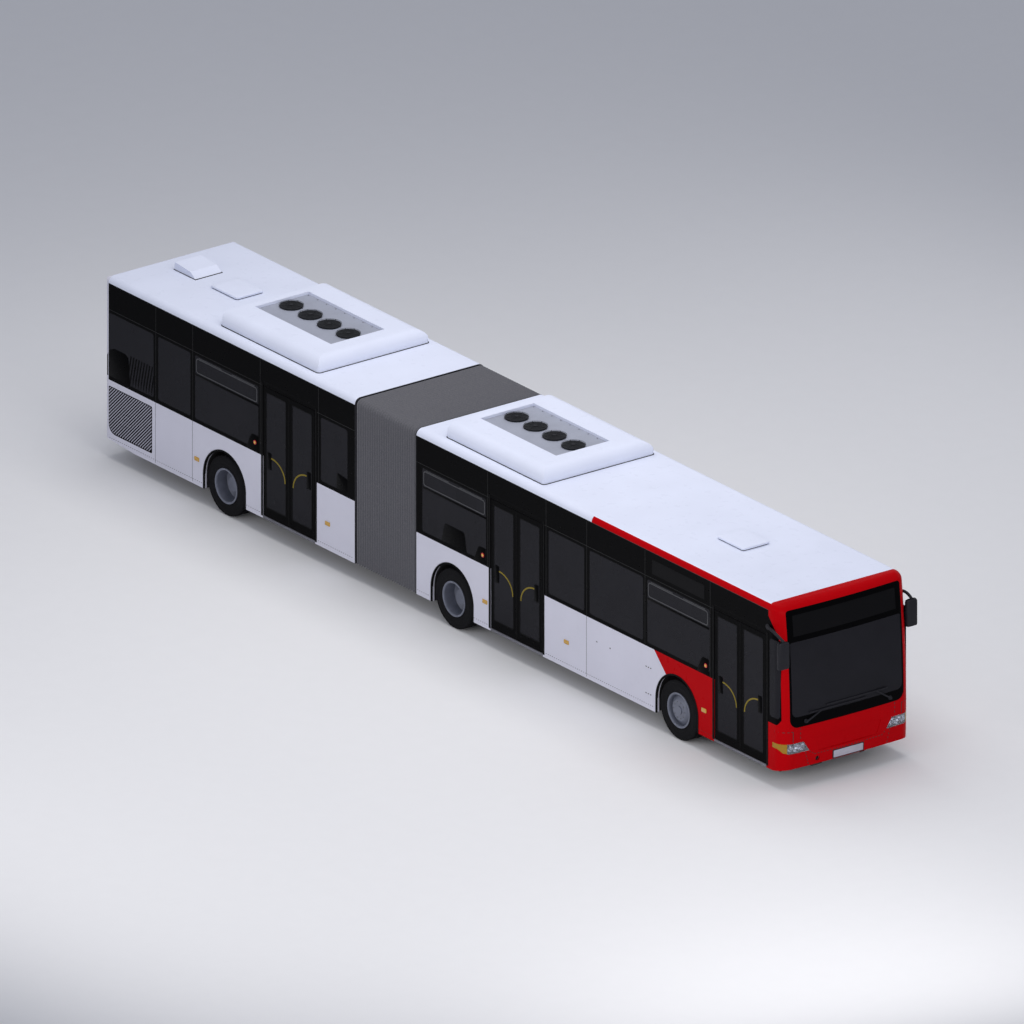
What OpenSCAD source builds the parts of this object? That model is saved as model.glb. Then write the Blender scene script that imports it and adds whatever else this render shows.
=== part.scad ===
/* [Overall] */
// Width of the body over its side walls
bus_w = 2550; // [2400:10:2600]
// Height of the roof skin over the ground
roof_z = 3100; // [3000:10:3300]
// Height of the skirt's lower edge over the ground
skirt_z = 293; // [289:1:310]
// Thickness of the walls, the roof and the mask
wall_t = 60; // [50:1:61]
// From the tail to the rear axle
rear_overhang = 3180; // [3100:10:3900]
// From the rear axle to the middle axle
rear_wheelbase = 6005; // [5900:10:7300]
// From the middle axle to the front axle
front_wheelbase = 5930; // [5500:10:7200]
// From the front axle to the nose
front_overhang = 2825; // [2750:10:3400]

/* [Joint] */
// Length of the bellows between the two sections
bellows_l = 1630; // [1500:10:1760]
// From the bellows' front end to the middle axle
bellows_to_axle = 945; // [850:10:1100]
// Thickness of the bellows' folded wall
bellows_t = 70; // [40:1:90]
// Radius of the joint's centre pin
joint_pin_r = 60; // [40:1:80]

/* [Wheels] */
// Radius of a tyre
tyre_r = 500; // [470:1:505]
// Width of a steered tyre
steer_tyre_w = 290; // [260:1:300]
// Width of one tyre of a twin wheel
twin_tyre_w = 285; // [250:1:292]
// Gap between the two tyres of a twin wheel
twin_gap = 40; // [20:1:44]
// Radius of the rim's tyre seat
rim_r = 286; // [270:1:300]
// Thickness of the rim's barrel
rim_t = 24; // [12:1:26]
// From the side wall's outer face to the tyre's outer face
tyre_inset = 25; // [15:1:30]
// Radius of the wheel arches
arch_r = 551; // [530:1:570]
// Radius of the king pins
king_pin_r = 22; // [16:1:28]
// Radius of the steered wheels' stub axles
stub_r = 45; // [35:1:55]
// Radius of the driven wheels' spindles
spindle_r = 60; // [50:1:75]

/* [Floor] */
// Height of the floor's top
floor_z = 318; // [316:1:330]
// Thickness of the floor plate
floor_t = 30; // [20:1:32]
// Height of the chassis rails below the floor plate
rail_h = 50; // [30:1:52]
// Thickness of the wheel boxes' sheet
box_t = 25; // [15:1:30]

/* [Doors] */
// Clear width of a doorway
door_w = 1380; // [1200:10:1400]
// From the middle axle or the rear axle to the centre of the door in front of it
axle_to_door = 1700; // [1600:10:1800]
// From the nose to the centre of the front door
nose_to_door = 1155; // [1140:5:1175]
// Thickness of a door leaf
leaf_t = 35; // [28:1:36]
// Gap around and between the door leaves
leaf_gap = 3; // [3:0.5:5]
// How far the guide roller of a leaf stands back from the middle of the doorway
roller_inset = 40; // [20:1:54]
// Radius of a door post
post_r = 16; // [12:1:16]
// Radius of the pivot pins of the leaves
leaf_pin_r = 9; // [6:0.5:11]

/* [Windows] */
// Height of the lower edge of the dark window band
belt_z = 1350; // [1300:10:1390]
// Height of the lower edge of the glass
glass_z0 = 1417; // [1400:1:1500]
// Height of the upper edge of the glass
glass_z1 = 2495; // [2300:5:2500]
// Thickness of the glass
glass_t = 8; // [5:1:12]
// Width of the pillars between two panes
pillar_w = 120; // [80:5:160]

/* [Roof] */
// Height of the air conditioners over the roof skin
pod_h = 230; // [180:5:260]
// Length of an air conditioner
pod_l = 2580; // [2200:10:2800]
// Width of an air conditioner
pod_w = 2200; // [1800:10:2300]
// How far the mirrors reach in front of the nose
mirror_reach = 180; // [150:5:220]

/* [Hidden] */
$fn = 48;
// Small gap between a piece and its seat on the same body
fit = 0.3;
// Radial play of a pin in its bore
pin_fit = 0.05;
bus_l = rear_overhang + rear_wheelbase + front_wheelbase + front_overhang;
model_l = bus_l + mirror_reach;
half_w = bus_w / 2;
inner_w = half_w - wall_t;

// Turns a distance from the tail into a model position
function st(x) = x - model_l / 2;

tail_x = st(0);
nose_x = st(bus_l);
rear_axle_x = st(rear_overhang);
middle_axle_x = st(rear_overhang + rear_wheelbase);
front_axle_x = st(rear_overhang + rear_wheelbase + front_wheelbase);
bellows_x1 = middle_axle_x - bellows_to_axle;
bellows_x0 = bellows_x1 - bellows_l;
joint_x = (bellows_x0 + bellows_x1) / 2;
rear_door_x = rear_axle_x + axle_to_door;
middle_door_x = middle_axle_x + axle_to_door;
front_door_x = nose_x - nose_to_door;

// Shape of the outer skin
roof_r = 110;
front_corner_r = 220;
rear_corner_r = 120;
nose_bow_r = 16500;
nose_bow_z = 1000;
nose_cell = 400;
nose_ys = [-1200, -600, 0, 600, 1200];
nose_zs = [400, 1000, 1600, 2200, 2800];
dome_r = 160;
tail_r = 150;
nose_rise = 57;
tail_rise = 60;
rise_l = 800;
cant_z = roof_z - 110;
corner_bow = half_w - front_corner_r;
front_corner_x = nose_x - front_corner_r - 34;
dome_x = nose_x - dome_r - 101;
mask_x = front_door_x + door_w / 2 + 52;
tail_panel_x = tail_x + rear_corner_r;

// Wheels and axles
hub_z = tyre_r;
arch_z = tyre_r + 41;
steer_arch_r = arch_r + 49;
rim_in_r = rim_r - rim_t;
steer_wheel_y = half_w - tyre_inset - steer_tyre_w / 2;
king_pin_y = steer_wheel_y - 100;
twin_w = 2 * twin_tyre_w + twin_gap;
twin_wheel_y = half_w - tyre_inset - twin_w / 2;
steer_box_y = king_pin_y - tyre_r * 0.75 - 40;
twin_box_y = twin_wheel_y - twin_w / 2 - 140;
axle_z0 = 150;
axle_z1 = floor_z - floor_t - rail_h - 8;
king_boss_r = 40;
king_boss_h = 120;
knuckle_gap = 5;
knuckle_lug_h = 40;
stub_end = 120;
spindle_end = 145;

// Floor
floor_z0 = floor_z - floor_t;
rail_y = 420;
rail_w = 80;
sill_top = 340;
podium_z = 1000;
podium_x = st(1420);
tongue_w = 400;
disc_r = bellows_l / 2 - 10;
bearing_r = 320;
tow_r = 20;
tow_l = 60;
tow_y = 600;
tow_z = 430;

// Door linkage: the post stands inside the wall, beside the jamb
post_off = wall_t + post_r + 6;
// The pivot is halfway from the post to the roller
door_arm = (door_w / 2 - roller_inset) / 2;
post_jamb = 24;
leaf_x0 = post_jamb + 18;
leaf_x1 = post_jamb + door_w / 2 - leaf_gap;
leaf_z0 = 350;
leaf_z1 = 2545;
leaf_hole_z = leaf_z1 + 12;
leaf_glass_z0 = 504;
leaf_glass_z1 = 2454;
leaf_rail_rear = 74;
leaf_rail_lead = 84;
header_z = 2600;
header_h = 150;
header_d = 120;
arm_h = 15;
arm_w = 26;
bottom_arm_z = 325;
top_arm_z = leaf_z1 + 7;
eye_r = 17;
bracket_h = 15;

// Windows
display_h = 242;
display_z = 2624;
rear_window_w = 1700;
rear_window_z0 = 1600;
rear_window_z1 = 2450;
lid_w = 1800;
lid_z0 = 520;
lid_z1 = 1330;
lid_gap = 6;
lid_t = 40;
hinge_r = 12;
hinge_pin_r = 6;
screen_w = 2100;
screen_z0 = 1035;
screen_z1 = 3005;

// ---- helpers ----

// Extrudes a drawing of Y and Z along +X
module yz(length) {
  rotate([90, 0, 90])
    linear_extrude(length)
      children();
}

// Extrudes a drawing of X and Z along +Y, starting at y
module xz(y, length) {
  translate([0, y + length, 0])
    rotate([90, 0, 0])
      linear_extrude(length)
        children();
}

// Box given by its lowest and highest corners
module box(low, high) {
  translate(low)
    cube(high - low);
}

// Rectangle with round corners, given by its lowest and highest corners
module round_rect(low, high, r) {
  translate([low.x + r, low.y])
    square([high.x - low.x - 2 * r, high.y - low.y]);
  translate([low.x, low.y + r])
    square([high.x - low.x, high.y - low.y - 2 * r]);
  for (x = [low.x + r, high.x - r])
    for (y = [low.y + r, high.y - r])
      translate([x, y])
        circle(r);
}

// ---- outer skin ----

// Plan of the skin, moved inwards by i, open at the nose
module skin_plan(i) {
  hw = half_w - i;
  rf = front_corner_r - i;
  rr = rear_corner_r - i;
  rear_x = tail_x + rear_corner_r;
  translate([tail_x + i, -hw + rr])
    square([1000, 2 * (hw - rr)]);
  translate([rear_x, -hw])
    square([front_corner_x - rear_x, 2 * hw]);
  translate([front_corner_x - 10, -hw + rf])
    square([front_corner_r + 60, 2 * (hw - rf)]);
  for (s = [-1, 1]) {
    translate([front_corner_x, s * (hw - rf)])
      circle(rf, $fn = 96);
    translate([rear_x, s * (hw - rr)])
      circle(rr, $fn = 96);
  }
}

// Everything in front of the bowed nose moved inwards by i: flat facets that touch one large ball
module nose_cut(i) {
  for (y = nose_ys)
    for (z = nose_zs)
      translate([nose_x - nose_bow_r, 0, nose_bow_z])
        rotate([0, -asin((z - nose_bow_z) / nose_bow_r), asin(y / nose_bow_r)])
          translate([nose_bow_r - i, -nose_cell, -nose_cell])
            cube([500, 2 * nose_cell, 2 * nose_cell]);
}

// Side view of the skin, moved inwards by i, with its lower edge rising to both ends
module skin_side(i) {
  peak = roof_z + 1;
  low = skirt_z;
  intersection() {
    union() {
      translate([tail_x + i, 0])
        square([1000, peak - tail_r]);
      translate([tail_x + tail_r, 0])
        square([dome_x - tail_x - tail_r, peak - i]);
      translate([tail_x + tail_r, peak - tail_r])
        circle(tail_r - i, $fn = 96);
      translate([dome_x - 10, 0])
        square([600, peak - dome_r]);
      translate([dome_x, peak - dome_r])
        circle(dome_r - i, $fn = 96);
    }
    polygon([
      [tail_x - 10, low + tail_rise], [tail_x + rise_l, low],
      [nose_x - 300, low], [nose_x + 10, low + nose_rise],
      [nose_x + 10, roof_z + 10], [tail_x - 10, roof_z + 10]
    ]);
  }
}

// Cross section of the skin, moved inwards by i
module skin_section(i) {
  hw = half_w - i;
  r = roof_r - i;
  translate([-hw, 0])
    square([2 * hw, roof_z - roof_r]);
  translate([-hw + r, 0])
    square([2 * (hw - r), roof_z - i]);
  for (s = [-1, 1])
    translate([s * (hw - r), roof_z - roof_r])
      circle(r, $fn = 96);
}

// Solid inside the skin moved inwards by i
module skin(i) {
  intersection() {
    linear_extrude(roof_z + 20)
      skin_plan(i);
    xz(-half_w - 10, bus_w + 20)
      skin_side(i);
    translate([tail_x - 10, 0, 0])
      yz(model_l + 20)
        skin_section(i);
  }
}

// Layer of the skin between two depths
module skin_layer(outer, inner) {
  difference() {
    skin(outer);
    difference() {
      skin(inner);
      box([tail_x - 20, -half_w, 0], [nose_x + 20, half_w, skirt_z - 5]);
    }
  }
}

// Front part of the solid inside the skin moved inwards by i
module nose_skin(i) {
  difference() {
    intersection() {
      skin(i);
      box([mask_x - 100, -half_w, 0], [nose_x + 20, half_w, roof_z + 20]);
    }
    nose_cut(i);
  }
}

// Layer of the nose's skin between two depths
module nose_layer(outer, inner) {
  difference() {
    nose_skin(outer);
    nose_skin(inner);
  }
}

// ---- walls ----

// Window bays as [start, end], split into n panes with pillars between them
function panes(x0, x1, n) = [
  for (k = [0:n - 1])
    let (w = floor((x1 - x0 - (n - 1) * pillar_w) / n))
      [x0 + k * (w + pillar_w), x0 + k * (w + pillar_w) + w]
];

// Clear strip beside a doorway before the next pane
door_side = door_w / 2 + 120;
tail_pane_w = 1175;
tail_pane_gap = 123;
tail_panes = [
  [tail_panel_x + 10, tail_panel_x + 10 + tail_pane_w],
  [tail_panel_x + 10 + tail_pane_w + tail_pane_gap, rear_axle_x - 900]
];
rear_right_panes = concat(
  tail_panes,
  panes(rear_axle_x - 900 + pillar_w, rear_door_x - door_side, 1),
  panes(rear_door_x + door_side + 30, bellows_x0 - 190, 1)
);
rear_left_panes = concat(
  tail_panes,
  panes(rear_axle_x - 900 + pillar_w, bellows_x0 - 190, 3)
);
mid_pane_w = [940, 1412];
mid_pane_gap = [143, 108];
mid_pane_x = middle_door_x + door_side + 30;
mid_pane_x1 = mid_pane_x + mid_pane_w[0] + mid_pane_gap[0];
mid_pane_x2 = mid_pane_x1 + mid_pane_w[1] + mid_pane_gap[1];
front_right_panes = [
  [bellows_x1 + 155, middle_door_x - door_side],
  [mid_pane_x, mid_pane_x + mid_pane_w[0]],
  [mid_pane_x1, mid_pane_x1 + mid_pane_w[1]],
  [mid_pane_x2, front_door_x - door_side]
];
cab_window_x = front_door_x - door_w / 2 + 60;
front_left_panes = panes(bellows_x1 + 155, cab_window_x - pillar_w, 6);
cab_window = [cab_window_x, mask_x - 40];
cab_window_z0 = 1250;

// Rectangle of a pane in X and Z, made larger all round by grow
module pane_hole(p, z0, z1, y, grow) {
  xz(y, wall_t + 20)
    round_rect([p[0] - grow, z0 - grow], [p[1] + grow, z1 + grow], 40 + grow);
}

// One side wall between two positions; s is the side: 1 left, -1 right
module side_wall(x0, x1, s, holes, doors, arches) {
  y0 = s > 0 ? inner_w : -half_w;
  difference() {
    intersection() {
      box([x0, y0, skirt_z - 20], [x1, y0 + wall_t, cant_z]);
      xz(-half_w - 10, bus_w + 20)
        skin_side(0);
    }
    for (p = holes)
      pane_hole(p, glass_z0, glass_z1, y0 - 10, 0);
    for (d = doors)
      box([d - door_w / 2, y0 - 10, 0], [d + door_w / 2, y0 + wall_t + 10, leaf_hole_z]);
    for (a = arches)
      xz(y0 - 10, wall_t + 20) {
        translate([a, arch_z])
          circle(arch_r, $fn = 96);
        translate([a - arch_r, 0])
          square([2 * arch_r, arch_z]);
      }
  }
  for (d = doors)
    box([d - door_w / 2 - post_jamb, -inner_w, header_z],
        [d + door_w / 2 + post_jamb, -inner_w + header_d, header_z + header_h]);
}

module front_right_wall() {
  color("gainsboro")
    side_wall(bellows_x1, mask_x, -1, front_right_panes, [middle_door_x, front_door_x],
      [middle_axle_x, front_axle_x]);
}

module front_left_wall() {
  color("gainsboro")
    difference() {
      side_wall(bellows_x1, mask_x, 1, front_left_panes, [], [middle_axle_x, front_axle_x]);
      pane_hole(cab_window, cab_window_z0, glass_z1, inner_w - 10, 0);
    }
}

module rear_right_wall() {
  color("gainsboro")
    side_wall(tail_panel_x, bellows_x0, -1, rear_right_panes, [rear_door_x], [rear_axle_x]);
}

module rear_left_wall() {
  color("gainsboro")
    side_wall(tail_panel_x, bellows_x0, 1, rear_left_panes, [], [rear_axle_x]);
}

// ---- roof ----

// Roof shell between two positions, with a hatch opening
module roof_shell(x0, x1) {
  translate([x0, 0, 0])
    yz(x1 - x0)
      difference() {
        skin_section(0);
        skin_section(wall_t);
        translate([-bus_w, 0])
          square([2 * bus_w, cant_z]);
      }
}

module front_roof() {
  color("gainsboro")
    roof_shell(bellows_x1, mask_x);
}

module rear_roof() {
  color("gainsboro")
    roof_shell(tail_panel_x, bellows_x0);
}

// ---- front mask ----

// Outline of the windscreen in Y and Z, made smaller all round by i
module screen_outline(i) {
  w = screen_w / 2;
  low_r = 120;
  top_r = 60;
  translate([-w + i, screen_z0 + low_r])
    square([2 * (w - i), screen_z1 - top_r - screen_z0 - low_r]);
  translate([-w + low_r, screen_z0 + i])
    square([2 * (w - low_r), low_r]);
  translate([-w + top_r, screen_z1 - top_r - 10])
    square([2 * (w - top_r), top_r + 10 - i]);
  for (s = [-1, 1]) {
    translate([s * (w - low_r), screen_z0 + low_r])
      circle(low_r - i);
    translate([s * (w - top_r), screen_z1 - top_r])
      circle(top_r - i);
  }
}

// Outline of a headlamp in Y and Z, on the left side, made smaller all round by i
lamp_z0 = 602;
lamp_z1 = 778;
module lamp_outline(i) {
  polygon([
    [755 + i, lamp_z0 + i], [half_w + 20, lamp_z0 + i],
    [half_w + 20, lamp_z1 - i], [870 + i, lamp_z1 - i]
  ]);
}

lamp_x = front_corner_x - 60;
lamp_t = 40;
lamp_sink = 8;

// Plan of the nose's right half, flat up to the corner, moved inwards by i
module lamp_plan(i) {
  y0 = 700;
  r = front_corner_r - i;
  polygon([
    [lamp_x - 10, y0], [nose_x - y0 * y0 / 2 / nose_bow_r - i, y0],
    [front_corner_x + r, corner_bow], [front_corner_x, corner_bow], [lamp_x - 10, corner_bow]
  ]);
  translate([lamp_x - 10, corner_bow - 1])
    square([front_corner_x - lamp_x + 10, r + 1]);
  translate([front_corner_x, corner_bow])
    circle(r, $fn = 96);
}

// Volume of a headlamp on side s, made smaller all round by i
module lamp_volume(s, i) {
  scale([1, s, 1])
    translate([lamp_x + i, 0, 0])
      yz(400)
        lamp_outline(i);
}

quarter_x0 = mask_x + 28;
quarter_x1 = front_corner_x + 110;
quarter_z0 = 1200;

// Cut for the quarter window on side s, made smaller all round by i
module quarter_volume(s, i) {
  xz(s > 0 ? half_w - 250 : -half_w - 20, 270)
    round_rect([quarter_x0 + i, quarter_z0 + i], [quarter_x1 - i, glass_z1 + 30 - i], 60 - i);
}

module front_mask() {
  color("firebrick")
    difference() {
      intersection() {
        nose_layer(0, wall_t);
        box([mask_x, -half_w, skirt_z - 5], [nose_x + 10, half_w, roof_z + 10]);
      }
      translate([nose_x - 300, 0, 0])
        yz(320)
          screen_outline(0);
      for (s = [-1, 1]) {
        lamp_volume(s, 0);
        quarter_volume(s, 0);
      }
      // Flap opening in front of the towing socket
      translate([nose_x - 100, -tow_y, tow_z])
        rotate([0, 90, 0])
          cylinder(h = 120, r = 2 * tow_r);
      // Shallow recess in the middle of the nose
      intersection() {
        translate([nose_x - 300, 0, 0])
          yz(320)
            polygon([[-570, 560], [570, 560], [660, 810], [-660, 810]]);
        nose_cut(8);
      }
    }
}

module windscreen() {
  color("dimgray")
    difference() {
      translate([nose_x - 300, 0, 0])
        yz(320)
          screen_outline(fit);
      nose_cut(1);
      difference() {
        box([nose_x - 310, -half_w, screen_z0 - 20], [nose_x + 30, half_w, screen_z1 + 20]);
        nose_cut(1 + glass_t);
      }
    }
}

module headlamps() {
  color("silver")
    for (s = [-1, 1])
      intersection() {
        translate([0, 0, lamp_z0 - 10])
          linear_extrude(lamp_z1 - lamp_z0 + 20)
            scale([1, s])
              difference() {
                lamp_plan(lamp_sink);
                lamp_plan(lamp_t);
              }
        lamp_volume(s, fit);
      }
}

// ---- glass ----

// Panes of one side
module pane_row(list, z0, s) {
  y = s > 0 ? half_w - glass_t - 1 : -half_w + 1;
  for (p = list)
    xz(y, glass_t)
      round_rect([p[0] + fit, z0 + fit], [p[1] - fit, glass_z1 - fit], 40 - fit);
}

module front_windows() {
  color("dimgray") {
    pane_row(front_right_panes, glass_z0, -1);
    pane_row(front_left_panes, glass_z0, 1);
    pane_row([cab_window], cab_window_z0, 1);
    for (s = [-1, 1])
      intersection() {
        linear_extrude(roof_z)
          difference() {
            skin_plan(1);
            skin_plan(1 + glass_t);
          }
        quarter_volume(s, fit);
      }
  }
}

// Rear window outline in Y and Z, made smaller all round by i
module rear_window_outline(i) {
  round_rect([-rear_window_w / 2 + i, rear_window_z0 + i],
             [rear_window_w / 2 - i, rear_window_z1 - i], 80 - i);
}

module rear_windows() {
  color("dimgray") {
    pane_row(rear_right_panes, glass_z0, -1);
    pane_row(rear_left_panes, glass_z0, 1);
    translate([tail_x + 1, 0, 0])
      yz(glass_t)
        rear_window_outline(fit);
  }
}

// ---- tail ----

tail_lamp_y = half_w - 125;
tail_lamp_z = [1010, 1150, 1290];
tail_lamp_r = 55;
tail_lamp_t = 40;

// Holes for the tail lamps, made smaller by i
module tail_lamp_volumes(i) {
  for (s = [-1, 1])
    for (z = tail_lamp_z)
      translate([tail_x - 10, s * tail_lamp_y, z])
        rotate([0, 90, 0])
          cylinder(h = tail_lamp_t + 10, r = tail_lamp_r - i);
}

hinge_x = tail_x + hinge_r + 2;
hinge_z = lid_z1 - hinge_r - lid_gap;
lid_top = hinge_z - hinge_r - 4;
hinge_ys = [-600, 600];

module tail_panel() {
  color("gainsboro")
    difference() {
      intersection() {
        skin_layer(0, wall_t);
        box([tail_x - 10, -half_w, skirt_z - 5], [tail_panel_x, half_w, roof_z + 10]);
      }
      translate([tail_x - 10, 0, 0])
        yz(wall_t + 30) {
          translate([-lid_w / 2, lid_z0])
            square([lid_w, lid_z1 - lid_z0]);
          rear_window_outline(0);
        }
      tail_lamp_volumes(0);
      translate([tail_x - 10, tow_y, tow_z])
        rotate([0, 90, 0])
          cylinder(h = 120, r = 2 * tow_r);
    }
  // Hinge pins of the engine lid, each between two ears
  color("gray")
    for (y = hinge_ys) {
      translate([hinge_x, y - 60, hinge_z])
        rotate([-90, 0, 0])
          cylinder(h = 120, r = hinge_pin_r);
      for (e = [-60, 48])
        box([hinge_x - hinge_pin_r, y + e, hinge_z - hinge_pin_r],
            [hinge_x + hinge_pin_r + 6, y + e + 12, lid_z1 + 1]);
    }
}

module engine_lid() {
  color("gainsboro")
    difference() {
      union() {
        box([tail_x, -lid_w / 2 + lid_gap, lid_z0 + lid_gap],
            [tail_x + lid_t, lid_w / 2 - lid_gap, lid_top]);
        for (y = hinge_ys) {
          translate([hinge_x, y - 42, hinge_z])
            rotate([-90, 0, 0])
              cylinder(h = 84, r = hinge_r);
          box([hinge_x - 6, y - 42, lid_top - 2], [hinge_x + 6, y + 42, hinge_z]);
        }
      }
      for (y = hinge_ys)
        translate([hinge_x, y - 50, hinge_z])
          rotate([-90, 0, 0])
            cylinder(h = 100, r = hinge_pin_r + pin_fit);
    }
}

module tail_lamps() {
  color("red")
    difference() {
      intersection() {
        tail_lamp_volumes(fit);
        skin(0);
      }
    }
}

// ---- floors ----

// Wheel housing at an axle on side s: its sheet outside, or its hollow
module wheel_box(x, s, y_in, r, hollow) {
  t = hollow ? 0 : box_t;
  low = hollow ? 0 : floor_z0;
  y_out = hollow ? half_w + 10 : inner_w;
  y0 = s > 0 ? y_in - t : -y_out;
  difference() {
    xz(y0, y_out - y_in + t) {
      translate([x, arch_z])
        circle(r + t, $fn = 96);
      translate([x - r - t, low])
        square([2 * (r + t), arch_z - low]);
    }
    if (!hollow)
      box([x - 2 * r, -bus_w, -bus_w], [x + 2 * r, bus_w, floor_z0]);
  }
}

// Floor plate between two positions with its wheel boxes; axles are [x, inner y, radius]
module floor_plate(x0, x1, axles, doors) {
  difference() {
    union() {
      intersection() {
        translate([0, 0, floor_z0])
          linear_extrude(floor_t)
            skin_plan(wall_t + fit);
        box([x0, -half_w, 0], [x1, half_w, roof_z]);
      }
      for (a = axles)
        for (s = [-1, 1])
          wheel_box(a[0], s, a[1], a[2], false);
      for (d = doors)
        box([d - door_w / 2 + fit, -half_w, skirt_z], [d + door_w / 2 - fit, -inner_w + fit, sill_top]);
      for (s = [-1, 1])
        box([x0, s * rail_y - rail_w / 2, floor_z0 - rail_h], [x1, s * rail_y + rail_w / 2, floor_z0 + 1]);
    }
    for (a = axles)
      for (s = [-1, 1])
        wheel_box(a[0], s, a[1], a[2], true);
  }
}

module front_floor() {
  tow_x = nose_x - 150;
  color("dimgray") {
    floor_plate(bellows_x1, nose_x - 200,
      [[middle_axle_x, twin_box_y, arch_r], [front_axle_x, steer_box_y, steer_arch_r]],
      [middle_door_x, front_door_x]);
    difference() {
      box([tow_x - 60, -tow_y - 60, floor_z0], [tow_x + tow_l, -tow_y + 60, tow_z + 60]);
      translate([tow_x - 1, -tow_y, tow_z])
        rotate([0, 90, 0])
          cylinder(h = tow_l + 2, r = tow_r);
      box([tow_x - 70, -tow_y - 40, tow_z - 40], [tow_x, -tow_y + 40, tow_z + 40]);
    }
  }
}

module rear_floor() {
  tow_x = tail_x + 150;
  color("dimgray")
    difference() {
      union() {
        floor_plate(podium_x, bellows_x0, [[rear_axle_x, twin_box_y, arch_r]], [rear_door_x]);
        // Engine bay: front bulkhead and top
        box([podium_x, -inner_w + fit, floor_z0], [podium_x + 30, inner_w - fit, podium_z]);
        box([tail_x + wall_t + fit, -inner_w + 60, podium_z - 30], [podium_x + 30, inner_w - 60, podium_z]);
        box([tail_panel_x, -inner_w + fit, podium_z - 30], [podium_x + 30, inner_w - fit, podium_z]);
        for (s = [-1, 1])
          box([tail_x + 90, s * rail_y - rail_w / 2, floor_z0 - rail_h],
              [podium_x + 10, s * rail_y + rail_w / 2, floor_z0]);
        box([tail_x + 90, -rail_y, floor_z0 - rail_h], [tail_x + 210, tow_y + 60, floor_z0]);
        box([tail_x + 90, tow_y - 60, floor_z0 - 1], [tail_x + 210, tow_y + 60, tow_z + 60]);
        // Tongue and bearing ring of the joint
        box([bellows_x0 - 200, -tongue_w / 2, floor_z0 - rail_h], [bellows_x0, tongue_w / 2, floor_z0]);
        box([bellows_x0 - 200, -tongue_w / 2, 205], [joint_x, tongue_w / 2, floor_z0 - rail_h]);
        translate([joint_x, 0, 205])
          cylinder(h = floor_z0 - 8 - 205, r = bearing_r, $fn = 96);
      }
      translate([joint_x, 0, 100])
        cylinder(h = 300, r = joint_pin_r + pin_fit);
      translate([tow_x - tow_l - 1, tow_y, tow_z])
        rotate([0, 90, 0])
          cylinder(h = tow_l + 2, r = tow_r);
      box([tow_x, tow_y - 40, tow_z - 40], [tow_x + 70, tow_y + 40, tow_z + 40]);
    }
}

// ---- joint ----

module turntable() {
  color("gray") {
    translate([joint_x, 0, floor_z0])
      cylinder(h = floor_t, r = disc_r, $fn = 96);
    box([joint_x + bearing_r + 80, -tongue_w, floor_z0 - rail_h + 5], [bellows_x1, tongue_w, floor_z]);
    translate([joint_x, 0, 190])
      cylinder(h = floor_z0 - 190, r = joint_pin_r);
  }
}

module bellows() {
  color("slategray")
    translate([bellows_x0, 0, 0])
      yz(bellows_l)
        difference() {
          skin_section(0);
          skin_section(bellows_t);
          translate([-bus_w, 0])
            square([2 * bus_w, skirt_z]);
        }
}

// ---- axles, knuckles and wheels ----

// Air springs between an axle and the floor's underside
module air_springs(x) {
  for (s = [-1, 1])
    translate([x, s * 250, axle_z1 - 1])
      cylinder(h = floor_z0 - axle_z1 + 1, r = 100);
}

module front_axle() {
  boss_z0 = hub_z - king_boss_h / 2;
  boss_z1 = hub_z + king_boss_h / 2;
  rise_y = king_pin_y - 145;
  color("gray")
    translate([front_axle_x, 0, 0]) {
      for (s = [-1, 1]) {
        translate([-60, 0, 0])
          yz(120)
            scale([s, 1])
              polygon([
                [0, axle_z0], [rise_y - 110, axle_z0], [rise_y, boss_z0], [king_pin_y, boss_z0],
                [king_pin_y, boss_z1], [rise_y - 30, boss_z1], [rise_y - 170, axle_z1], [0, axle_z1]
              ]);
        translate([0, s * king_pin_y, boss_z0])
          cylinder(h = king_boss_h, r = king_boss_r);
        translate([0, s * king_pin_y, boss_z0 - knuckle_gap - knuckle_lug_h])
          cylinder(h = king_boss_h + 2 * (knuckle_gap + knuckle_lug_h), r = king_pin_r);
      }
      air_springs(0);
    }
}

// Portal axle with a spindle for each twin wheel
module portal_axle(x) {
  riser_y = twin_wheel_y - twin_w / 2 - 10;
  color("gray")
    translate([x, 0, 0]) {
      translate([-90, 0, 0])
        yz(180) {
          translate([-riser_y, axle_z0])
            square([2 * riser_y, axle_z1 - axle_z0]);
          for (s = [-1, 1])
            translate([s * (riser_y - 60) - 60, axle_z0])
              square([120, hub_z + 90 - axle_z0]);
        }
      for (s = [-1, 1])
        translate([0, s * (riser_y - 60), hub_z])
          rotate([-90 * s, 0, 0])
            cylinder(h = twin_wheel_y + spindle_end - riser_y + 60, r = spindle_r);
      air_springs(0);
    }
}

module middle_axle() {
  portal_axle(middle_axle_x);
}

module rear_axle() {
  portal_axle(rear_axle_x);
}

// Steering knuckle on side s
module knuckle(s) {
  lug_r = 50;
  web_y = king_boss_r + 6;
  boss_z0 = hub_z - king_boss_h / 2;
  color("darkgray")
    translate([front_axle_x, s * king_pin_y, 0])
      scale([1, s, 1]) {
        difference() {
          union() {
            for (z = [boss_z0 - knuckle_gap - knuckle_lug_h, hub_z + king_boss_h / 2 + knuckle_gap])
              translate([0, 0, z])
                cylinder(h = knuckle_lug_h, r = lug_r);
            box([-60, web_y, boss_z0 - knuckle_gap - knuckle_lug_h],
                [60, web_y + 24, boss_z0 + king_boss_h + knuckle_gap + knuckle_lug_h]);
          }
          translate([0, 0, boss_z0 - 100])
            cylinder(h = 400, r = king_pin_r + pin_fit);
        }
        translate([0, web_y + 10, hub_z])
          rotate([-90, 0, 0])
            cylinder(h = 100 + stub_end - web_y - 10, r = stub_r);
      }
}

module left_knuckle() {
  knuckle(1);
}

module right_knuckle() {
  knuckle(-1);
}

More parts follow.
